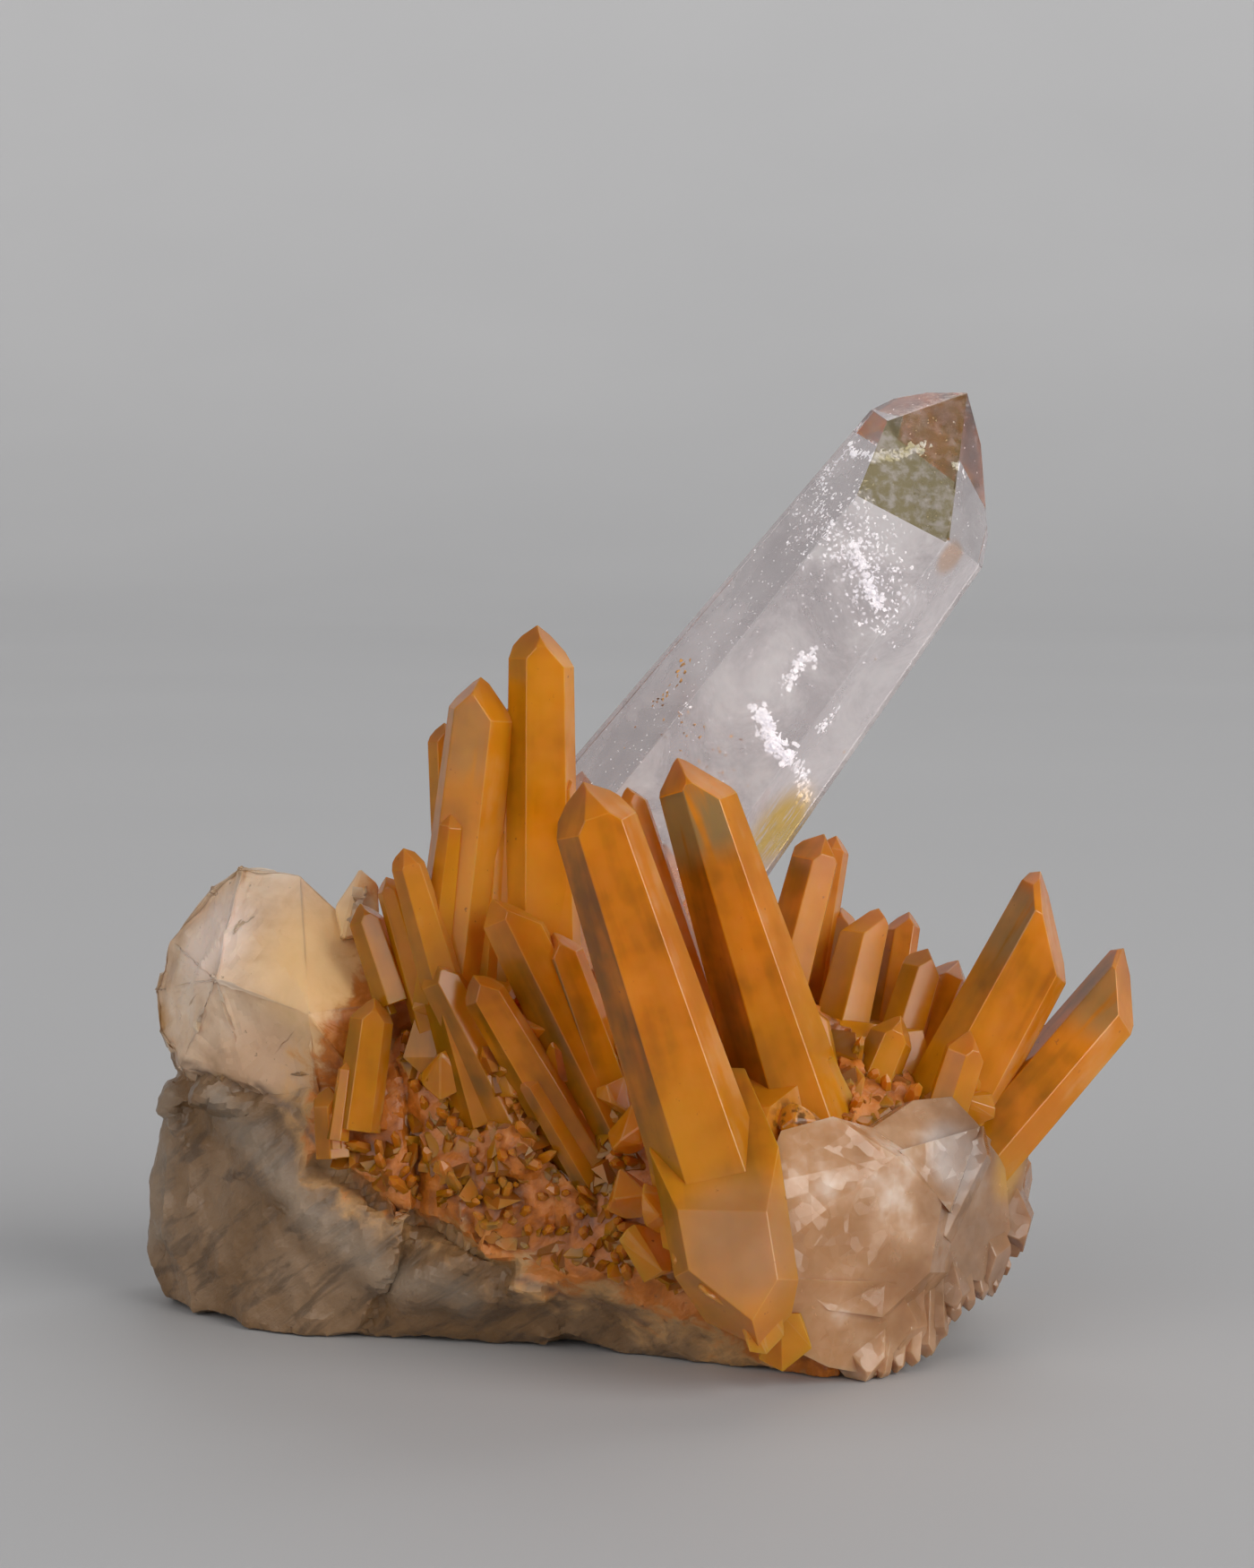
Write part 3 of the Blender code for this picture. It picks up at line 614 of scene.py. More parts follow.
def milky_quartz(name, chipped):
    """Broken milky quartz, brown and grey low at the left (partly its tint, partly painted shade), stained
    golden on the slope, with painted shade in its cracks and darker hollows.
    """
    f = Finish(name)
    paint = f.add("SeparateColor", f.add("VertexColor", layer_name="paint").outputs["Color"])
    stain, painted_crevice_shade, white = paint.outputs[:3]
    hollow = f.add("Attribute", attribute_name="hollow").outputs["Fac"]
    wide = f.noise(60.0, 5.0, 0.6, 0.4)
    middling = f.noise(220.0, 5.0, 0.6, 0.5)
    fine = f.noise(1000.0, 4.0, 0.6)
    z = f.add("SeparateXYZ", f.place).outputs[2]
    milk = f.ramp(
        f.plus(wide, f.swing(middling, 0.35)),
        (0.26, (0.36, 0.22, 0.11)),
        (0.42, (0.58, 0.38, 0.24)),
        (0.58, (0.76, 0.55, 0.38)),
        (0.80, (0.86, 0.70, 0.56)),
    )
    slanted = f.add("Mapping", f.place, vector_type="TEXTURE")
    put(slanted, Rotation=(0.0, -0.69, 0.0), Scale=(0.020, 0.005, 0.0022))
    streaks = f.noise(1.0, 5.0, 0.6, 0.3, slanted.outputs[0])
    if chipped:
        # Darker and browner low down: partly the stone's brown tint, partly painted shade
        low = f.times(f.span(z, 0.030, 0.050, 1.0, 0.0), f.span(wide, 0.35, 0.6, 1.0, 0.85))
        milk = f.mix(low, milk, (0.20, 0.108, 0.042))
        milk = f.mix(f.times(f.span(streaks, 0.36, 0.52, 0.7, 0.0), low), milk, (0.085, 0.05, 0.025))
        # Pale bands, which along the ridges of the upper left block are a painted highlight
        milk = f.mix(white, milk, (0.36, 0.29, 0.22), 0.5)
    else:
        milk = f.mix(f.near((375, 1075), 1, 0.005, 0.016), milk, (0.90, 0.58, 0.27), 0.85)
        milk = f.mix(f.near((225, 1040), 8, 0.004, 0.010), milk, (0.92, 0.74, 0.64), 0.8)
        milk = f.mix(f.near((290, 1195), 0, 0.004, 0.010), milk, (0.64, 0.40, 0.24), 0.8)
        for pixel, depth, reach in (
            ((268, 968), 13, 0.0028), ((176, 1140), 17, 0.0040), ((470, 1100), 2, 0.005),
        ):
            rusty = f.times(f.near(pixel, depth, reach * 0.2, reach), f.span(middling, 0.35, 0.6, 0.3, 0.9))
            milk = f.mix(rusty, milk, (0.48, 0.24, 0.07))
    edge = f.plus(stain, f.span(middling, 0.3, 0.7, -0.10, 0.10, smooth=False))
    edge = f.plus(edge, f.span(wide, 0.3, 0.7, -0.06, 0.06, smooth=False))
    milk = f.mix(f.span(edge, 0.28, 0.48), milk, (0.72, 0.40, 0.15), 0.8)
    gold = f.ramp(
        f.plus(middling, f.swing(wide, 0.5)),
        (0.28, (0.14, 0.038, 0.003)),
        (0.42, (0.34, 0.095, 0.006)),
        (0.56, (0.54, 0.165, 0.014)),
        (0.76, (0.72, 0.31, 0.10)),
    )
    # Painted light: the golden stain brightened high on the slope
    gold = f.mix(f.near((600, 1160), -6, 0.003, 0.014), gold, (0.90, 0.34, 0.03), 0.75)
    colour = f.mix(f.span(edge, 0.40, 0.50), milk, gold)
    # Painted shade along the cracks and the recess above the band
    broken = f.times(painted_crevice_shade, f.span(middling, 0.36, 0.58, 0.25, 0.9))
    colour = f.mix(broken, colour, (0.17, 0.10, 0.06))
    # Darker in the hollows of the stone
    hollow_darkening = f.span(f.plus(hollow, f.swing(fine, 0.3)), 0.18, 0.65)
    colour = f.mix(hollow_darkening, colour, (0.22, 0.12, 0.05), 0.5)
    pits = f.times(f.span(fine, 0.64, 0.72), f.span(wide, 0.48, 0.60))
    colour = f.mix(pits, colour, (0.14, 0.07, 0.03), 0.7)
    normal = f.bump(middling, 0.0003, 0.5 * chipped + 0.15)
    for height, distance, strength, least in (
        (f.facets(150.0), 1.0, 0.14, 0.06),
        (f.facets(480.0), 1.0, 0.08, 0.06),
        (streaks, 0.0005, 0.6, 0.1),
        (fine, 0.0002, 0.45, 0.15),
    ):
        normal = f.bump(height, distance, strength * chipped + least, normal)
    f.link(Base_Color=colour, Roughness=f.span(middling, 0.3, 0.75, 0.28, 0.55), Normal=normal)
    f.quartz(0.35, (1.0, 0.65, 0.4), 0.002)
    return f.material


def pale_quartz():
    """Translucent white and pink quartz, golden where it meets the points, brownish at the right (partly its
    tint, partly painted shade), with a painted highlight on one lit face.
    """
    f = Finish("pale_quartz")
    x = f.add("SeparateXYZ", f.place).outputs[0]
    clouds = f.noise(90.0, 4.0, 0.55)
    fine = f.noise(300.0, 3.0)
    colour = f.ramp(
        clouds,
        (0.30, (0.42, 0.20, 0.085)),
        (0.45, (0.54, 0.29, 0.14)),
        (0.58, (0.64, 0.39, 0.23)),
        (0.74, (0.88, 0.76, 0.67)),
    )
    # Painted highlight: a bright white lit face of the foot
    colour = f.mix(f.near((1056, 1296), -17, 0.003, 0.0065), colour, (0.95, 0.92, 0.92), 0.8)
    # Darker and browner towards the right: partly its tint, partly painted shade
    colour = f.mix(f.span(x, 0.036, 0.044), colour, (0.32, 0.19, 0.115), 0.7)
    colour = f.mix(f.span(x, 0.046, 0.053), colour, (0.40, 0.19, 0.08), 0.6)
    colour = f.mix(f.near((1108, 1305), -6, 0.002, 0.006), colour, (0.80, 0.42, 0.05), 0.7)
    gold = f.span(f.plus(x, f.span(clouds, 0.3, 0.7, -0.006, 0.006)), 0.022, 0.036, 0.8, 0.0)
    colour = f.mix(gold, colour, (0.60, 0.31, 0.13))
    normal = f.bump(f.facets(600.0), 1.0, 0.15, f.bump(f.facets(180.0), 1.0, 0.14))
    f.link(
        Base_Color=colour,
        Transmission_Weight=f.span(clouds, 0.3, 0.7, 0.45, 0.20),
        Roughness=f.span(fine, 0.3, 0.8, 0.14, 0.30),
        Normal=f.bump(fine, 0.0001, 0.3, normal),
    )
    f.quartz(0.6, (1.0, 0.65, 0.5), 0.004)
    f.absorb((1.0, 0.84, 0.72), 25.0)
    return f.material


# Modelling helpers


def alone(piece):
    """Selects one piece and makes it active."""
    bpy.ops.object.select_all(action="DESELECT")
    piece.select_set(True)
    bpy.context.view_layer.objects.active = piece


@contextmanager
def editing(piece):
    """Edit mode on one piece, with all of it selected."""
    alone(piece)
    bpy.ops.object.mode_set(mode="EDIT")
    bpy.ops.mesh.select_all(action="SELECT")
    yield
    bpy.ops.object.mode_set(mode="OBJECT")


def cut_away(*planes):
    """Cuts off what lies outside some planes, each a place and a normal, and closes each cut."""
    for place, outwards in planes:
        bpy.ops.mesh.select_all(action="SELECT")
        bpy.ops.mesh.bisect(plane_co=place, plane_no=outwards, use_fill=True, clear_outer=True)


def weld(distance=WELD):
    bpy.ops.mesh.select_all(action="SELECT")
    bpy.ops.mesh.remove_doubles(threshold=distance)


def round_edges(width):
    bpy.ops.mesh.bevel(offset=width, segments=1, affect="EDGES", clamp_overlap=True)


def settle(name):
    """Names the new primitive, and puts its place into its mesh."""
    piece = bpy.context.object
    piece.name = name
    bpy.ops.object.transform_apply(location=True, rotation=True, scale=True)
    return piece


def wear(piece, width):
    """Takes the sharpness off the edges."""
    with editing(piece):
        round_edges(width)


def apply(piece, kind, **values):
    """Adds a modifier and applies it."""
    step = piece.modifiers.new(kind, kind)
    for key, value in values.items():
        setattr(step, key, value)
    alone(piece)
    bpy.ops.object.modifier_apply(modifier=step.name)


def combine(piece, others, operation):
    """Joins closed pieces to one, with no walls left inside, or takes them away from it."""
    for other in others:
        apply(piece, "BOOLEAN", operation=operation, object=other)
        bpy.data.objects.remove(other)
    return piece


def gather(pieces, name):
    """Many small pieces as one joined mesh."""
    bpy.ops.object.select_all(action="DESELECT")
    for piece in pieces:
        piece.select_set(True)
    bpy.context.view_layer.objects.active = pieces[0]
    bpy.ops.object.join()
    made = bpy.context.object
    made.name = name
    return made


def smooth_below(piece, degrees):
    """Shades a piece smooth, apart from edges sharper than that."""
    alone(piece)
    bpy.ops.object.shade_smooth_by_angle(angle=math.radians(degrees))


def any_way(draw, deep=1):
    return Vector((draw.gauss(0, 1), draw.gauss(0, deep), draw.gauss(0, 1))).normalized()


# Points


class Growth(NamedTuple):
    """Where one point grows: its root and tip, its own three ways, and the plane of every face."""

    root: Vector
    tip: Vector
    length: Vector
    across: Vector
    front: Vector
    width: float
    planes: list


def tip_face(length, outwards):
    """The way that a tip face points."""
    return length * math.cos(TIP_FACE_LEAN) + outwards * math.sin(TIP_FACE_LEAN)


def growth_of(form):
    """The place and the planes of a point, drawn as the solids draw them."""
    draw = random.Random(form.seed)
    root = seen(form.root_px, form.root_depth)
    tip = seen(form.tip_px, form.tip_depth)
    width = form.width * MM
    rough_length = (tip - root).normalized()
    across = (RIGHT - rough_length * RIGHT.dot(rough_length)).normalized()
    length = (tip - across * form.peak * width - root).normalized()
    across = (RIGHT - length * RIGHT.dot(length)).normalized()
    front = across.cross(length)
    if front.y > 0:
        front = -front
    shoulder = root + length * ((tip - root).dot(length) - width)
    lean = math.radians(form.spread)
    planes = [(root, -length)]
    for side in range(SIDES):
        angle = math.radians(form.turn) + side * math.tau / SIDES
        outwards = front * math.cos(angle) + across * math.sin(angle)
        squeeze = math.hypot(math.cos(angle) * form.flatness, math.sin(angle))
        share = form.sides[side] if form.sides else draw.uniform(0.93, 1.07)
        far = width / 2 * math.cos(math.pi / SIDES) * squeeze * share
        planes.append((shoulder + outwards * far, outwards * math.cos(lean) + length * math.sin(lean)))
        rise = 0.0 if side % 2 else draw.uniform(0.04, 0.26)
        if form.rises and not side % 2:
            rise = form.rises[side // 2]
        planes.append((tip + length * rise * width, tip_face(length, outwards)))
    if form.seed == BROAD_POINT:
        broken_off = root + length * 15 * MM + front * width * 0.1
        planes.append((broken_off, (front * 0.9 - length * 0.43).normalized()))
    return Growth(root, tip, length, across, front, width, planes)


def companion_of(growth, draw):
    """A smaller point that grows beside another, along the same way."""
    angle = draw.uniform(0.0, math.tau)
    outwards = growth.front * math.cos(angle) + growth.across * math.sin(angle)
    width = growth.width * draw.uniform(0.32, 0.5)
    reach = (growth.tip - growth.root).dot(growth.length)
    top = growth.root + growth.length * reach * draw.uniform(0.45, 0.86)
    tip = top + outwards * (growth.width * 0.5 - width * draw.uniform(0.30, 0.42))
    root = tip - growth.length * reach * 0.6
    turn = draw.uniform(-0.06, 0.06)
    planes = [(root, -growth.length)]
    for side in range(SIDES):
        around = angle + turn + side * math.tau / SIDES
        way = growth.front * math.cos(around) + growth.across * math.sin(around)
        far = width / 2 * math.cos(math.pi / SIDES) * draw.uniform(0.9, 1.1)
        prism = (way + growth.length * 0.03).normalized()
        planes.append((tip - growth.length * width + way * far, prism))
        rise = 0.0 if side % 2 else draw.uniform(0.04, 0.3)
        planes.append((tip + growth.length * rise * width, tip_face(growth.length, way)))
    return growth._replace(root=root, tip=tip, width=width, planes=planes)


def loose_growth(place, way):
    """The ways of a small piece, for its maps alone."""
    return Growth(place, place + way * 12 * MM, way, RIGHT, Vector((0, -1, 0)), MM, [])


def write_grain(piece, growth, draw, window=0.0, middle=0.46, painted_side_light=0.36):
    """Two maps on a point: its grain in metres, and the tone and the window of each face. The tone holds
    painted light and shade: lighter on faces towards the right, darker on faces towards the left; tip faces
    are a little lighter.
    """
    mesh = piece.data
    for old in list(mesh.uv_layers):
        mesh.uv_layers.remove(old)
    grain = mesh.uv_layers.new(name="grain")
    tone = mesh.uv_layers.new(name="tone")
    base = draw.uniform(-0.06, 0.06)
    for face in mesh.polygons:
        side = face.normal.dot(growth.across)
        tipped = max(0.0, face.normal.dot(growth.length))
        # Painted light and shade: faces towards the right lighter, faces towards the left darker
        value = middle + painted_side_light * side + 0.12 * tipped + base + draw.uniform(-0.06, 0.06)
        flow = face.normal.cross(growth.length)
        if flow.length < 0.2:
            flow = growth.across
        flow = flow.normalized()
        corners = [mesh.vertices[index].co for index in face.vertices]
        around = sum((corner - corners[index - 1]).length for index, corner in enumerate(corners))
        # Painted highlight along the worn edges
        if face.area < WORN_EDGE_SHARE * around ** 2:
            value += EDGE_HIGHLIGHT_TONE
        shown = window if face.normal.y < -0.3 and side < 0.1 and tipped < 0.3 else 0.0
        for index in face.loop_indices:
            corner = mesh.vertices[mesh.loops[index].vertex_index].co
            grain.data[index].uv = (corner.dot(flow), (growth.tip - corner).dot(growth.length))
            tone.data[index].uv = (value, shown)


def cut_point(name, growth, worn=EDGE_WEAR):
    """A six-sided point, cut from a rod with a plane for every face."""
    reach = (growth.tip - growth.root).dot(growth.length)
    bpy.ops.object.select_all(action="DESELECT")
    bpy.ops.mesh.primitive_cylinder_add(
        vertices=SIDES, radius=growth.width + reach * 0.1, depth=reach * 1.2 + growth.width * 2,
        location=growth.root + growth.length * reach / 2,
        rotation=UP.rotation_difference(growth.length).to_euler(),
    )
    piece = settle(name)
    with editing(piece):
        cut_away(*growth.planes)
        weld()
        if worn:
            round_edges(worn)
    return piece


def cut_tip_facet(piece):
    """Takes the broad, steep facet off the front of the clear point's tip, and returns its plane."""
    find = surface_finder(piece)
    first, second, third = (find(pixel)[0] for pixel in TIP_FACET_PX)
    outwards = (second - first).cross(third - first).normalized()
    if outwards.y > 0:
        outwards = -outwards
    with editing(piece):
        cut_away((first, outwards))
        weld()
    return first, outwards


def write_haze(piece, growth, facet_way):
    """The maps on the clear point: olive on its front tip facet, a painted refraction of the golden points
    behind it, and haze on each face.
    """
    write_grain(piece, growth, random.Random(1))
    mesh = piece.data
    tone = mesh.uv_layers["tone"]
    for face in mesh.polygons:
        side = face.normal.dot(growth.across)
        front = face.normal.dot(growth.front)
        haze = 0.45 + 0.40 * max(0.0, front)
        if side < -0.3 or face.normal.dot(growth.length) > 0.3:
            haze = 0.15
        olive = 1.0 if face.normal.dot(facet_way) > 0.999 else 0.0
        if olive:
            haze = 0.65
        for index in face.loop_indices:
            tone.data[index].uv = (olive, haze)


# Blocks


def hull_planes(points):
    """The planes of the faces that wrap round some points."""
    places = numpy.array([tuple(point) for point in points])
    planes = []
    for three in itertools.combinations(range(len(places)), 3):
        first, second, third = places[list(three)]
        outwards = numpy.cross(second - first, third - first)
        size = numpy.linalg.norm(outwards)
        if size < 1e-9:
            continue
        outwards = outwards / size
        far = (places - first) @ outwards
        if far.max() > TOUCH:
            if far.min() < -TOUCH:
                continue
            outwards = -outwards
        if all(outwards @ known < 0.99995 for _, known in planes):
            planes.append((first, outwards))
    return planes


def cut_hull(name, points):
    """A block cut from a cube with a plane for every face."""
    middle = sum(points, Vector()) / len(points)
    reach = max((point - middle).length for point in points)
    bpy.ops.object.select_all(action="DESELECT")
    bpy.ops.mesh.primitive_cube_add(size=reach * 2.6, location=middle)
    piece = settle(name)
    planes = [
        (Vector(place) + Vector(outwards) * (step % 5) * 2e-6, Vector(outwards))
        for step, (place, outwards) in enumerate(hull_planes(points))
    ]
    with editing(piece):
        cut_away(*planes)
        weld()
    return piece


def cut_block(name, corners):
    """The broken block that spans some corners."""
    return cut_hull(name, [seen((x, y), depth) for x, y, depth in corners])


def lump_of(name, centre_px, depth, width, draw):
    """A broken lump of crystal, round about as wide as said."""
    middle = seen(centre_px, depth)
    points = []
    for _ in range(11):
        way = any_way(draw, 0.7)
        points.append(middle + Vector((way.x, way.y * 0.7, way.z)) * width * MM / 2 * draw.uniform(0.85, 1.0))
    piece = cut_hull(name, points)
    wear(piece, 0.18 * MM)
    return piece


def spray(name, forms, roots, companions, seed, broken=()):
    """A group of points that grew into each other, with smaller points beside them."""
    draw = random.Random(seed)
    pieces = []
    for form in forms:
        growth = growth_of(form)
        point = cut_point(name, growth)
        write_grain(point, growth, draw, WINDOWS.get(form.seed, 0.0))
        pieces.append(point)
        for _ in range(companions if form.seed != BROAD_POINT else 0):
            beside = companion_of(growth, draw)
            point = cut_point(name, beside, worn=EDGE_WEAR / 2)
            write_grain(point, beside, draw)
            pieces.append(point)
    for corners in roots:
        block = cut_block(name, corners)
        write_grain(block, growth_of(forms[0]), draw)
        pieces.append(block)
    for x, y, depth, width in broken:
        block = lump_of(name, (x, y), depth, width, draw)
        way = (RIGHT * draw.uniform(-0.3, 0.3) + Vector((0.0, -0.2, 1.0))).normalized()
        growth = loose_growth(seen((x, y), depth), way)
        write_grain(block, growth, draw, middle=0.66, painted_side_light=0.16)
        pieces.append(block)
    made = combine(pieces[0], pieces[1:], "UNION")
    made.name = name
    stand(made)
    return made


def stand(piece):
    """Cuts a piece off flat where the surface below it begins."""
    if min(vertex.co.z for vertex in piece.data.vertices) >= 0:
        return
    with editing(piece):
        cut_away(((0, 0, 0.02 * MM), (0, 0, -1)))


def finish_piece(piece, material, slot, *nodes):
    """Gives a piece its material and its body, and hides the solids that it stands for. The slot is not used.
    """
    piece.data.materials.clear()
    piece.data.materials.append(material)
    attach(piece, "root")
    if nodes:
        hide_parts(*nodes)


# Broken stone


def rough_texture(name, kind, size, **values):
    made = bpy.data.textures.new(name, kind)
    made.noise_scale = size
    for key, value in values.items():
        setattr(made, key, value)
    return made


def ridges(name, size):
    return rough_texture(name, "MUSGRAVE", size, musgrave_type="RIDGED_MULTIFRACTAL", octaves=4.0)


def chips(name, size):
    return rough_texture(name, "VORONOI", size, distance_metric="CHEBYCHEV")


def grains(name, size):
    return rough_texture(name, "CLOUDS", size, noise_depth=2, noise_type="HARD_NOISE")


def displace(piece, texture, strength, level, group=""):
    """Moves the surface out and in by a texture, as far as a group's weights let it."""
    apply(
        piece, "DISPLACE", texture=texture, texture_coords="LOCAL",
        strength=strength * MM, mid_level=level, vertex_group=group,
    )


def copy_of_solid(node, name):
    """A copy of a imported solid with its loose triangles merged."""
    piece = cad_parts[node].copy()
    piece.data = piece.data.copy()
    piece.parent = None
    piece.name = name
    for key in list(piece.keys()):
        del piece[key]
    bpy.context.scene.collection.objects.link(piece)
    with editing(piece):
        weld(0.005 * MM)
    return piece


def read_vectors(mesh, name):
    """The place or the normal of every vertex."""
    found = numpy.empty(len(mesh.vertices) * 3)
    mesh.vertices.foreach_get(name, found)
    return found.reshape(-1, 3)


def below(values, limit, reach, least=0.0, most=1.0):
    """Rises over the reach as values fall below the limit, or above it if the reach is negative."""
    return numpy.clip((limit - values) / reach, least, most)


def weigh(piece, name, weights):
    """A vertex group with a weight, in eighths, for every vertex."""
    group = piece.vertex_groups.new(name=name)
    step = numpy.rint(weights * 8).astype(int)
    for level in range(1, 9):
        chosen = numpy.nonzero(step == level)[0].tolist()
        if chosen:
            group.add(chosen, level / 8, "REPLACE")


def weigh_relief(piece):
    """Full relief on the slope and below, and less on the flat faces of the upper left block."""
    x, y, z = read_vectors(piece.data, "co").T
    pixels = to_pixels(read_vectors(piece.data, "co"))
    front = below(y, 0.010, 0.004)
    flat = below(x, -0.030, 0.004) * below(z, 0.032, -0.004)
    weigh(piece, "relief", 1.0 - 0.6 * flat)
    weigh(piece, "sunk", flat * below(y, 0.024, 0.004))
    weigh(piece, "band", front * numpy.exp(-(distance_to(pixels, BANDS_PX[0]) / 24.0) ** 4))
    weigh(piece, "recess", front * numpy.exp(-(distance_to(pixels, RECESS_PX) / 11.0) ** 2))


def broken_surface(piece, voxel, relief):
    """Turns a faceted solid into broken stone with ledges and grains, kept within the solids' box."""
    apply(piece, "REMESH", mode="VOXEL", voxel_size=voxel)
    weigh_relief(piece)
    for group, strength in (("band", 1.1 * MM), ("recess", -2.4 * MM), ("sunk", -2.2 * MM)):
        apply(piece, "DISPLACE", strength=strength, mid_level=0.0, vertex_group=group)
    for texture, strength, level in relief:
        displace(piece, texture, strength, level, "relief")
    mesh = piece.data
    places = read_vectors(mesh, "co")
    low, high = (numpy.array(corner) for corner in cad_box)
    numpy.clip(places, low, high, out=places)
    mesh.vertices.foreach_set("co", places.ravel())
    mesh.update()


def to_pixels(places):
    """The photograph's pixels at which some places show."""
    eye, ahead, up = (numpy.array(way) for way in viewer())
    from_eye = places - eye
    away = from_eye @ ahead
    across = PHOTO_CENTRE_PX[0] + FOCAL_PX * from_eye[:, 0] / away
    return numpy.stack([across, PHOTO_CENTRE_PX[1] - FOCAL_PX * (from_eye @ up) / away], axis=1)


def distance_to(pixels, path):
    """How far pixels lie from a path that wanders a little."""
    wander = numpy.sin(pixels[:, ::-1] / 15.0) * 3.0 + numpy.sin(pixels[:, ::-1] / 6.5 + 1.0) * 1.6
    pixels = pixels + wander
    nearest = numpy.full(len(pixels), 1e9)
    for start, end in zip(path, path[1:]):
        start, run = numpy.array(start, float), numpy.array(end, float) - numpy.array(start, float)
        share = numpy.clip((pixels - start) @ run / (run @ run), 0.0, 1.0)
        away = numpy.linalg.norm(pixels - start - share[:, None] * run, axis=1)
        nearest = numpy.minimum(nearest, away)
    return nearest


def nearness(pixels, paths, width):
    """One on some paths, and fading over a width in pixels beside them."""
    found = numpy.zeros(len(pixels))
    for path in paths:
        found = numpy.maximum(found, numpy.exp(-(distance_to(pixels, path) / width) ** 2))
    return found


def inside(pixels, outline):
    """Which pixels lie inside a closed outline."""
    within = numpy.zeros(len(pixels), bool)
    for (x0, y0), (x1, y1) in zip(outline, outline[1:] + outline[:1]):
        if y0 == y1:
            continue
        crosses = (y0 > pixels[:, 1]) != (y1 > pixels[:, 1])
        within ^= crosses & (pixels[:, 0] < (x1 - x0) * (pixels[:, 1] - y0) / (y1 - y0) + x0)
    return within


def paint_stone(piece):
    """Marks on the stone: its golden stain, painted shade along its cracks and recess, and its white bands,
    which along the ridges of the upper left block are a painted highlight.
    """
    mesh = piece.data
    places = read_vectors(mesh, "co")
    pixels = to_pixels(places)
    facing = numpy.clip(0.3 - read_vectors(mesh, "normal")[:, 1] * 1.5, 0.0, 1.0)
    edge = distance_to(pixels, STAIN_PX + STAIN_PX[:1]) * 0.12
    edge[~inside(pixels, STAIN_PX)] *= -1.0
    behind = below(places[:, 1], 0.020, -0.010)
    low = below(places[:, 2], 0.036, 0.014)
    stain = numpy.clip(0.5 + edge / 30.0 - behind * (0.10 + 0.6 * low), 0.0, 1.0)
    # Painted shade along the cracks and the recess above the band
    painted_crevice_shade = nearness(pixels, (*CRACKS_PX, RECESS_PX), 4.5) * facing
    # White bands; along the ridges of the upper left block they are a painted highlight
    white = nearness(pixels, BANDS_PX, 20.0) * facing
    marks = numpy.stack([stain, painted_crevice_shade, white, numpy.ones(len(places))], axis=1)
    paint = mesh.color_attributes.new("paint", "FLOAT_COLOR", "POINT")
    paint.data.foreach_set("color", marks.ravel())


def mark_hollows(mesh):
    """How deep each vertex lies below the smoothed stone, in millimetres, for darkening the hollows."""
    places = read_vectors(mesh, "co")
    ends = numpy.empty(len(mesh.edges) * 2, numpy.int32)
    mesh.edges.foreach_get("vertices", ends)
    first, second = ends.reshape(-1, 2).T
    count = numpy.bincount(ends, minlength=len(places))[:, None]
    smooth = places.copy()
    for _ in range(SMOOTHING_ROUNDS):
        total = numpy.empty_like(smooth)
        for axis in range(3):
            total[:, axis] = numpy.bincount(first, smooth[second, axis], len(places))
            total[:, axis] += numpy.bincount(second, smooth[first, axis], len(places))
        smooth = total / count
    hollow = ((smooth - places) * read_vectors(mesh, "normal")).sum(axis=1) / MM
    mesh.attributes.new("hollow", "FLOAT", "POINT").data.foreach_set("value", hollow)


def upper_blocks():
    """The block above the crack, broken at its left and low down, and the small white crystal."""
    pieces = []
    for corners, levels in ((UPPER_BLOCK, 4), (SMALL_WHITE_BLOCK, 2)):
        piece = cut_block("upper_block", corners)
        wear(piece, 0.35 * MM)
        apply(piece, "SUBSURF", subdivision_type="SIMPLE", levels=levels)
        pieces.append(piece)
    made = gather(pieces, "upper_left_block")
    displace(made, ridges("faint_ridges", 0.016), 0.45, 1.0)
    x, _, z = read_vectors(made.data, "co").T
    weigh(made, "rough", numpy.maximum(below(x, -0.047, 0.004, 0.12), below(z, 0.044, 0.004, 0.0, 0.75)))
    displace(made, chips("broken_chips", 0.007), 1.3, 0.6, "rough")
    displace(made, grains("broken_grains", 0.0022), 0.35, 0.6, "rough")
    paint_stone(made)
    smooth_below(made, 7)
    return made


def surface_finder(piece):
    """A finder of the place and the normal that a piece shows at a pixel."""
    mesh = piece.data
    tree = BVHTree.FromPolygons([v.co for v in mesh.vertices], [p.vertices for p in mesh.polygons])
    return tree_finder(tree)


def tree_finder(tree):
    eye = viewer()[0]
    return lambda pixel: tree.ray_cast(eye, ray_to(pixel).normalized())[:2]


def groove(name, find, path, width, depth):
    """Wedges that open the stone along a path."""
    wedges = []
    found = [find(pixel) for pixel in path]
    for (start, start_way), (end, end_way) in zip(found, found[1:]):
        if start is None or end is None or (end - start).length > 0.020:
            continue
        way = (start_way + end_way).normalized()
        run = (end - start).normalized()
        aside = run.cross(way).normalized() * width / 2
        out, down = way * 1.5 * MM, way * depth
        start, end = start - run * 0.4 * MM, end + run * 0.4 * MM
        flare = 1.0 + 1.5 * MM / depth
        wedges.append(cut_hull(name, [
            start + out + aside * flare, start + out - aside * flare, start - down,
            end + out + aside * flare, end + out - aside * flare, end - down,
        ]))
    return wedges


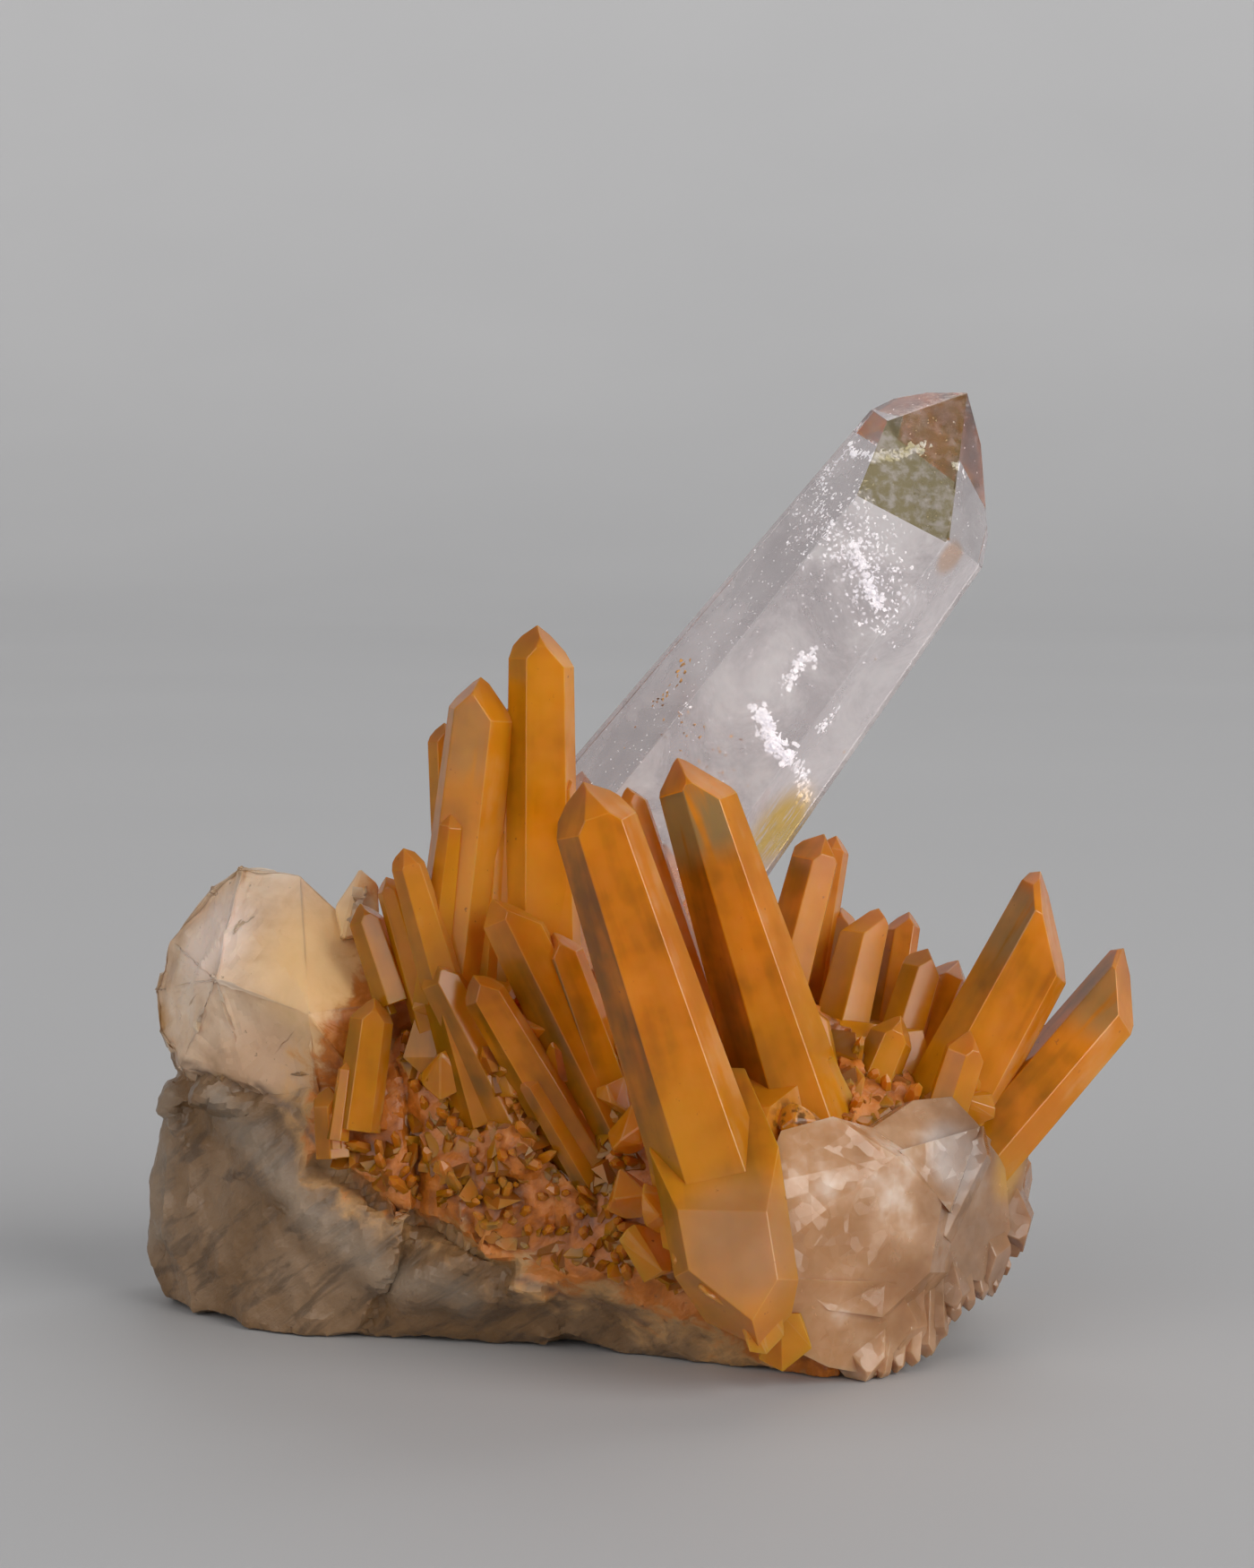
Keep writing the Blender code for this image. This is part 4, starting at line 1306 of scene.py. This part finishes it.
def matrix_piece():
    """The milky block with its broken surface, and a finder on the solid that it was made from."""
    piece = copy_of_solid("milky_matrix", "milky_base")
    find = surface_finder(piece)
    wedges = []
    for path, width, depth in zip(CRACKS_PX, CRACK_WIDTHS, CRACK_DEPTHS):
        wedges += groove("wedge", find, path, width * MM, depth * MM)
    combine(piece, wedges, "DIFFERENCE")
    broken_surface(piece, STONE_VOXEL, (
        (chips("chips", 0.010), 0.8, 0.4),
        (ridges("ridges", 0.012), 0.8, 0.7),
        (grains("grains", 0.0018), 0.35, 0.5),
    ))
    paint_stone(piece)
    mark_hollows(piece.data)
    smooth_below(piece, 20)
    return piece, find


# Small repeated pieces


def stamp(source, place, way, size, draw):
    """A turned copy of a modelled piece, with its own mesh, at its place in the cluster."""
    turn = UP.rotation_difference(way).to_matrix().to_4x4()
    spin = Matrix.Rotation(draw.uniform(0.0, math.tau), 4, "Z")
    mesh = source.data.copy()
    mesh.transform(Matrix.Translation(place) @ turn @ spin @ Matrix.Diagonal((*size, 1.0)))
    made = bpy.data.objects.new(source.name, mesh)
    bpy.context.scene.collection.objects.link(made)
    return made


def crumb_shapes(draw):
    """A few small points and a few broken grains, 1 mm across, to copy from."""
    shapes = []
    half = Vector((0.0, 0.0, 1.4 * MM))
    for _ in range(CRUMB_SHAPES):
        planes = [(-half, -UP)]
        for side in range(SIDES):
            angle = side * math.tau / SIDES + draw.uniform(-0.12, 0.12)
            way = Vector((math.cos(angle), math.sin(angle), 0.0))
            planes.append((way * 0.5 * MM * draw.uniform(0.75, 1.05), (way + UP * 0.05).normalized()))
            planes.append((Vector((0.0, 0.0, 1.4 * MM + draw.uniform(0.0, 0.3) * MM)), tip_face(UP, way)))
        shape = Growth(-half, half, UP, RIGHT, Vector((0.0, -1.0, 0.0)), 0.6 * MM, planes)
        shapes.append(cut_point("crumb_point", shape, worn=0.0))
    for _ in range(CRUMB_SHAPES):
        shapes.append(cut_hull("crumb_grain", [any_way(draw) * 0.5 * MM for _ in range(13)]))
    return shapes


def crumbs(find_base, find_all):
    """Small golden points and broken grains on the slope and round the roots of the points."""
    draw = random.Random(77)
    shapes = crumb_shapes(draw)
    made = []
    tries = 0
    while len(made) < CRUMB_COUNT and tries < CRUMB_TRIES:
        tries += 1
        pixel = (draw.uniform(360, 1130), draw.uniform(1040, 1500))
        on_slope = inside(numpy.array([pixel], float), SLOPE_PX)[0]
        place, normal = find_base(pixel)
        if place is None or normal.y > 0.2:
            continue
        shown, _ = find_all(pixel)
        near_root = shown is not None and 0.0 < (place - shown).length < 3.0 * MM
        if not on_slope and not near_root or (pixel[0] < 452 and pixel[1] < 1275):
            continue
        grain = draw.random() < GRAIN_SHARE
        source = shapes[draw.randrange(CRUMB_SHAPES) + (CRUMB_SHAPES if grain else 0)]
        way = (normal + UP * draw.uniform(0.0, 0.8) + RIGHT * draw.gauss(0.0, 0.4)).normalized()
        wide = draw.uniform(1.6, 6.0) if grain else draw.uniform(0.9, 2.0)
        tall = wide * (draw.uniform(0.35, 0.6) if grain else draw.uniform(0.8, 1.4))
        sunk = place - normal * (0.16 if grain else 0.1) * wide * MM
        crumb = stamp(source, sunk, way, (wide, wide * draw.uniform(0.7, 1.0), tall), draw)
        write_grain(crumb, loose_growth(sunk, way), draw, middle=0.66, painted_side_light=0.24)
        made.append(crumb)
    for shape in shapes:
        bpy.data.objects.remove(shape)
    return gather(made, "golden_crumbs")


def flake_shape():
    """One thin flake, 1 mm across, to copy from."""
    bpy.ops.object.select_all(action="DESELECT")
    bpy.ops.mesh.primitive_cylinder_add(vertices=5, radius=0.5 * MM, depth=0.08 * MM)
    piece = bpy.context.object
    with editing(piece):
        bpy.ops.mesh.bevel(offset=0.02 * MM, segments=1, affect="EDGES")
    return piece


def strewn(shape, growth, find, beds, draw):
    """Copies of a shape inside the clear point, each so far in behind what a pixel shows."""
    made = []
    for count, path, width, depths, sizes, jitter in beds:
        for _ in range(count):
            step = draw.uniform(0, len(path) - 1.001)
            start, end = path[int(step)], path[int(step) + 1]
            part = step - int(step)
            x = start[0] + (end[0] - start[0]) * part + draw.gauss(0, width)
            y = start[1] + (end[1] - start[1]) * part + draw.gauss(0, width)
            place, normal = find((x, y))
            if place is None:
                continue
            place = place + ray_to((x, y)).normalized() * draw.uniform(*depths) * MM
            if any((place - point).dot(outwards) > -CLEAR_WALL for point, outwards in growth.planes):
                continue
            way = normal + growth.across * draw.gauss(0, jitter) + growth.length * draw.gauss(0, jitter)
            wide = draw.uniform(*sizes)
            size = (wide, wide * draw.uniform(0.3, 1.0), 1.0)
            made.append(stamp(shape, place, way.normalized(), size, draw))
    bpy.data.objects.remove(shape)
    return made


def speck_shape(draw):
    """One flattened grain, 1 mm across, to copy from."""
    grain = cut_hull("rust_speck", [any_way(draw) * 0.5 * MM for _ in range(8)])
    for vertex in grain.data.vertices:
        vertex.co.z *= 0.5
    return grain


# The studio


def new_floor():
    """A plain pale floor that rises behind."""
    bpy.ops.mesh.primitive_plane_add(size=8.0, location=(0.0, 1.2, -0.0002))
    floor = bpy.context.object
    floor.name = "floor"
    bpy.ops.object.mode_set(mode="EDIT")
    bpy.ops.mesh.select_all(action="DESELECT")
    bpy.ops.object.mode_set(mode="OBJECT")
    for edge in floor.data.edges:
        edge.select = all(floor.data.vertices[index].co.y > 0 for index in edge.vertices)
    bpy.ops.object.mode_set(mode="EDIT")
    bpy.ops.mesh.extrude_region_move(TRANSFORM_OT_translate={"value": (0.0, 0.0, 5.0)})
    bpy.ops.object.mode_set(mode="OBJECT")
    apply(floor, "BEVEL", width=3.0, segments=24, affect="EDGES", limit_method="ANGLE")
    alone(floor)
    bpy.ops.object.transform_apply(location=True, rotation=True, scale=True)
    bpy.ops.object.shade_smooth()
    f = Finish("floor")
    f.link(Base_Color=f.mix(f.noise(3.0, 2.0), (0.48, 0.49, 0.51), (0.52, 0.53, 0.55)))
    put(f.shader, Roughness=0.6)
    floor.data.materials.append(f.material)
    return floor


def studio():
    """The floor, a pale surround, and soft light from three wide suns."""
    floor = new_floor()
    world = bpy.data.worlds.new("studio")
    bpy.context.scene.world = world
    world.use_nodes = True
    put(world.node_tree.nodes["Background"], Color=(0.90, 0.89, 0.88, 1.0), Strength=0.22)
    for place, degrees, power, colour in SUNS:
        light = bpy.data.lights.new("light", "SUN")
        light.energy = power
        light.color = colour
        light.angle = math.radians(degrees)
        holder = bpy.data.objects.new("light", light)
        holder.location = place
        holder.rotation_euler = (Vector(place) - LIT_PLACE).to_track_quat("Z", "Y").to_euler()
        bpy.context.scene.collection.objects.link(holder)
    bpy.context.scene.view_settings.view_transform = "Standard"


def clear_piece():
    """The clear point, and the veils and rust specks inside it."""
    growth = growth_of(CLEAR_POINT)
    point = cut_point("great_clear_point", growth)
    facet = cut_tip_facet(point)
    write_haze(point, growth, facet[1])
    growth = growth._replace(planes=[*growth.planes, facet])
    find = surface_finder(point)
    finish_piece(point, clear_quartz(), "clear_quartz", "clear_point")
    point.visible_shadow = False
    veils = gather(strewn(flake_shape(), growth, find, VEIL_BEDS, random.Random(5)), "inner_veils")
    finish_piece(veils, veil_white_painted_glow(), "clear_quartz")
    draw = random.Random(9)
    specks = gather(strewn(speck_shape(draw), growth, find, SPECK_BEDS, draw), "rust_specks")
    finish_piece(specks, rust(), "clear_quartz")


def main():
    set_camera()
    studio()
    clear_piece()
    golden = golden_quartz("golden_quartz", 0.5)
    shown = []
    for name, forms, roots, companions, broken, node in (
        ("front_spears", FRONT_POINTS, (FRONT_ROOT,), 1, FRONT_LUMPS, "front_golden_points"),
        ("left_spears", LEFT_POINTS, (LEFT_ROOT,), 1, LEFT_LUMPS, "left_golden_points"),
        ("right_spears", RIGHT_POINTS, (RIGHT_ROOT,), 1, RIGHT_LUMPS, "right_golden_points"),
        ("back_right_spears", BACK_RIGHT_POINTS, (BACK_RIGHT_ROOT,), 0, (), "back_right_golden_points"),
        ("rear_spears", REAR_POINTS, (REAR_ROOT,), 1, (), "rear_golden_points"),
    ):
        made = spray(name, forms, roots, companions, len(name), broken)
        shown.append(made)
        finish_piece(made, golden, "golden_quartz", node)

    foot = spray("pale_foot", PALE_POINTS + RIBS, (PALE_ROOT, *FOOT_BLOCKS), 0, 5)
    shown.append(foot)
    finish_piece(foot, pale_quartz(), "pale_quartz", "pale_foot_crystals")
    base, find_base = matrix_piece()
    finish_piece(base, milky_quartz("milky_quartz", 1.0), "milky_quartz", "milky_matrix")
    finish_piece(upper_blocks(), milky_quartz("milky_block", 0.0), "milky_quartz", "milky_matrix")
    low_points = spray("base_points", MATRIX_POINTS, (), 1, 3)
    finish_piece(low_points, golden, "golden_quartz")

    places, faces = [], []
    for piece in shown:
        faces += [[index + len(places) for index in face.vertices] for face in piece.data.polygons]
        places += [vertex.co.copy() for vertex in piece.data.vertices]
    made = crumbs(find_base, tree_finder(BVHTree.FromPolygons(places, faces)))
    finish_piece(made, golden_quartz("golden_crust", 0.1, 0.5, 0.55), "golden_quartz")


main()
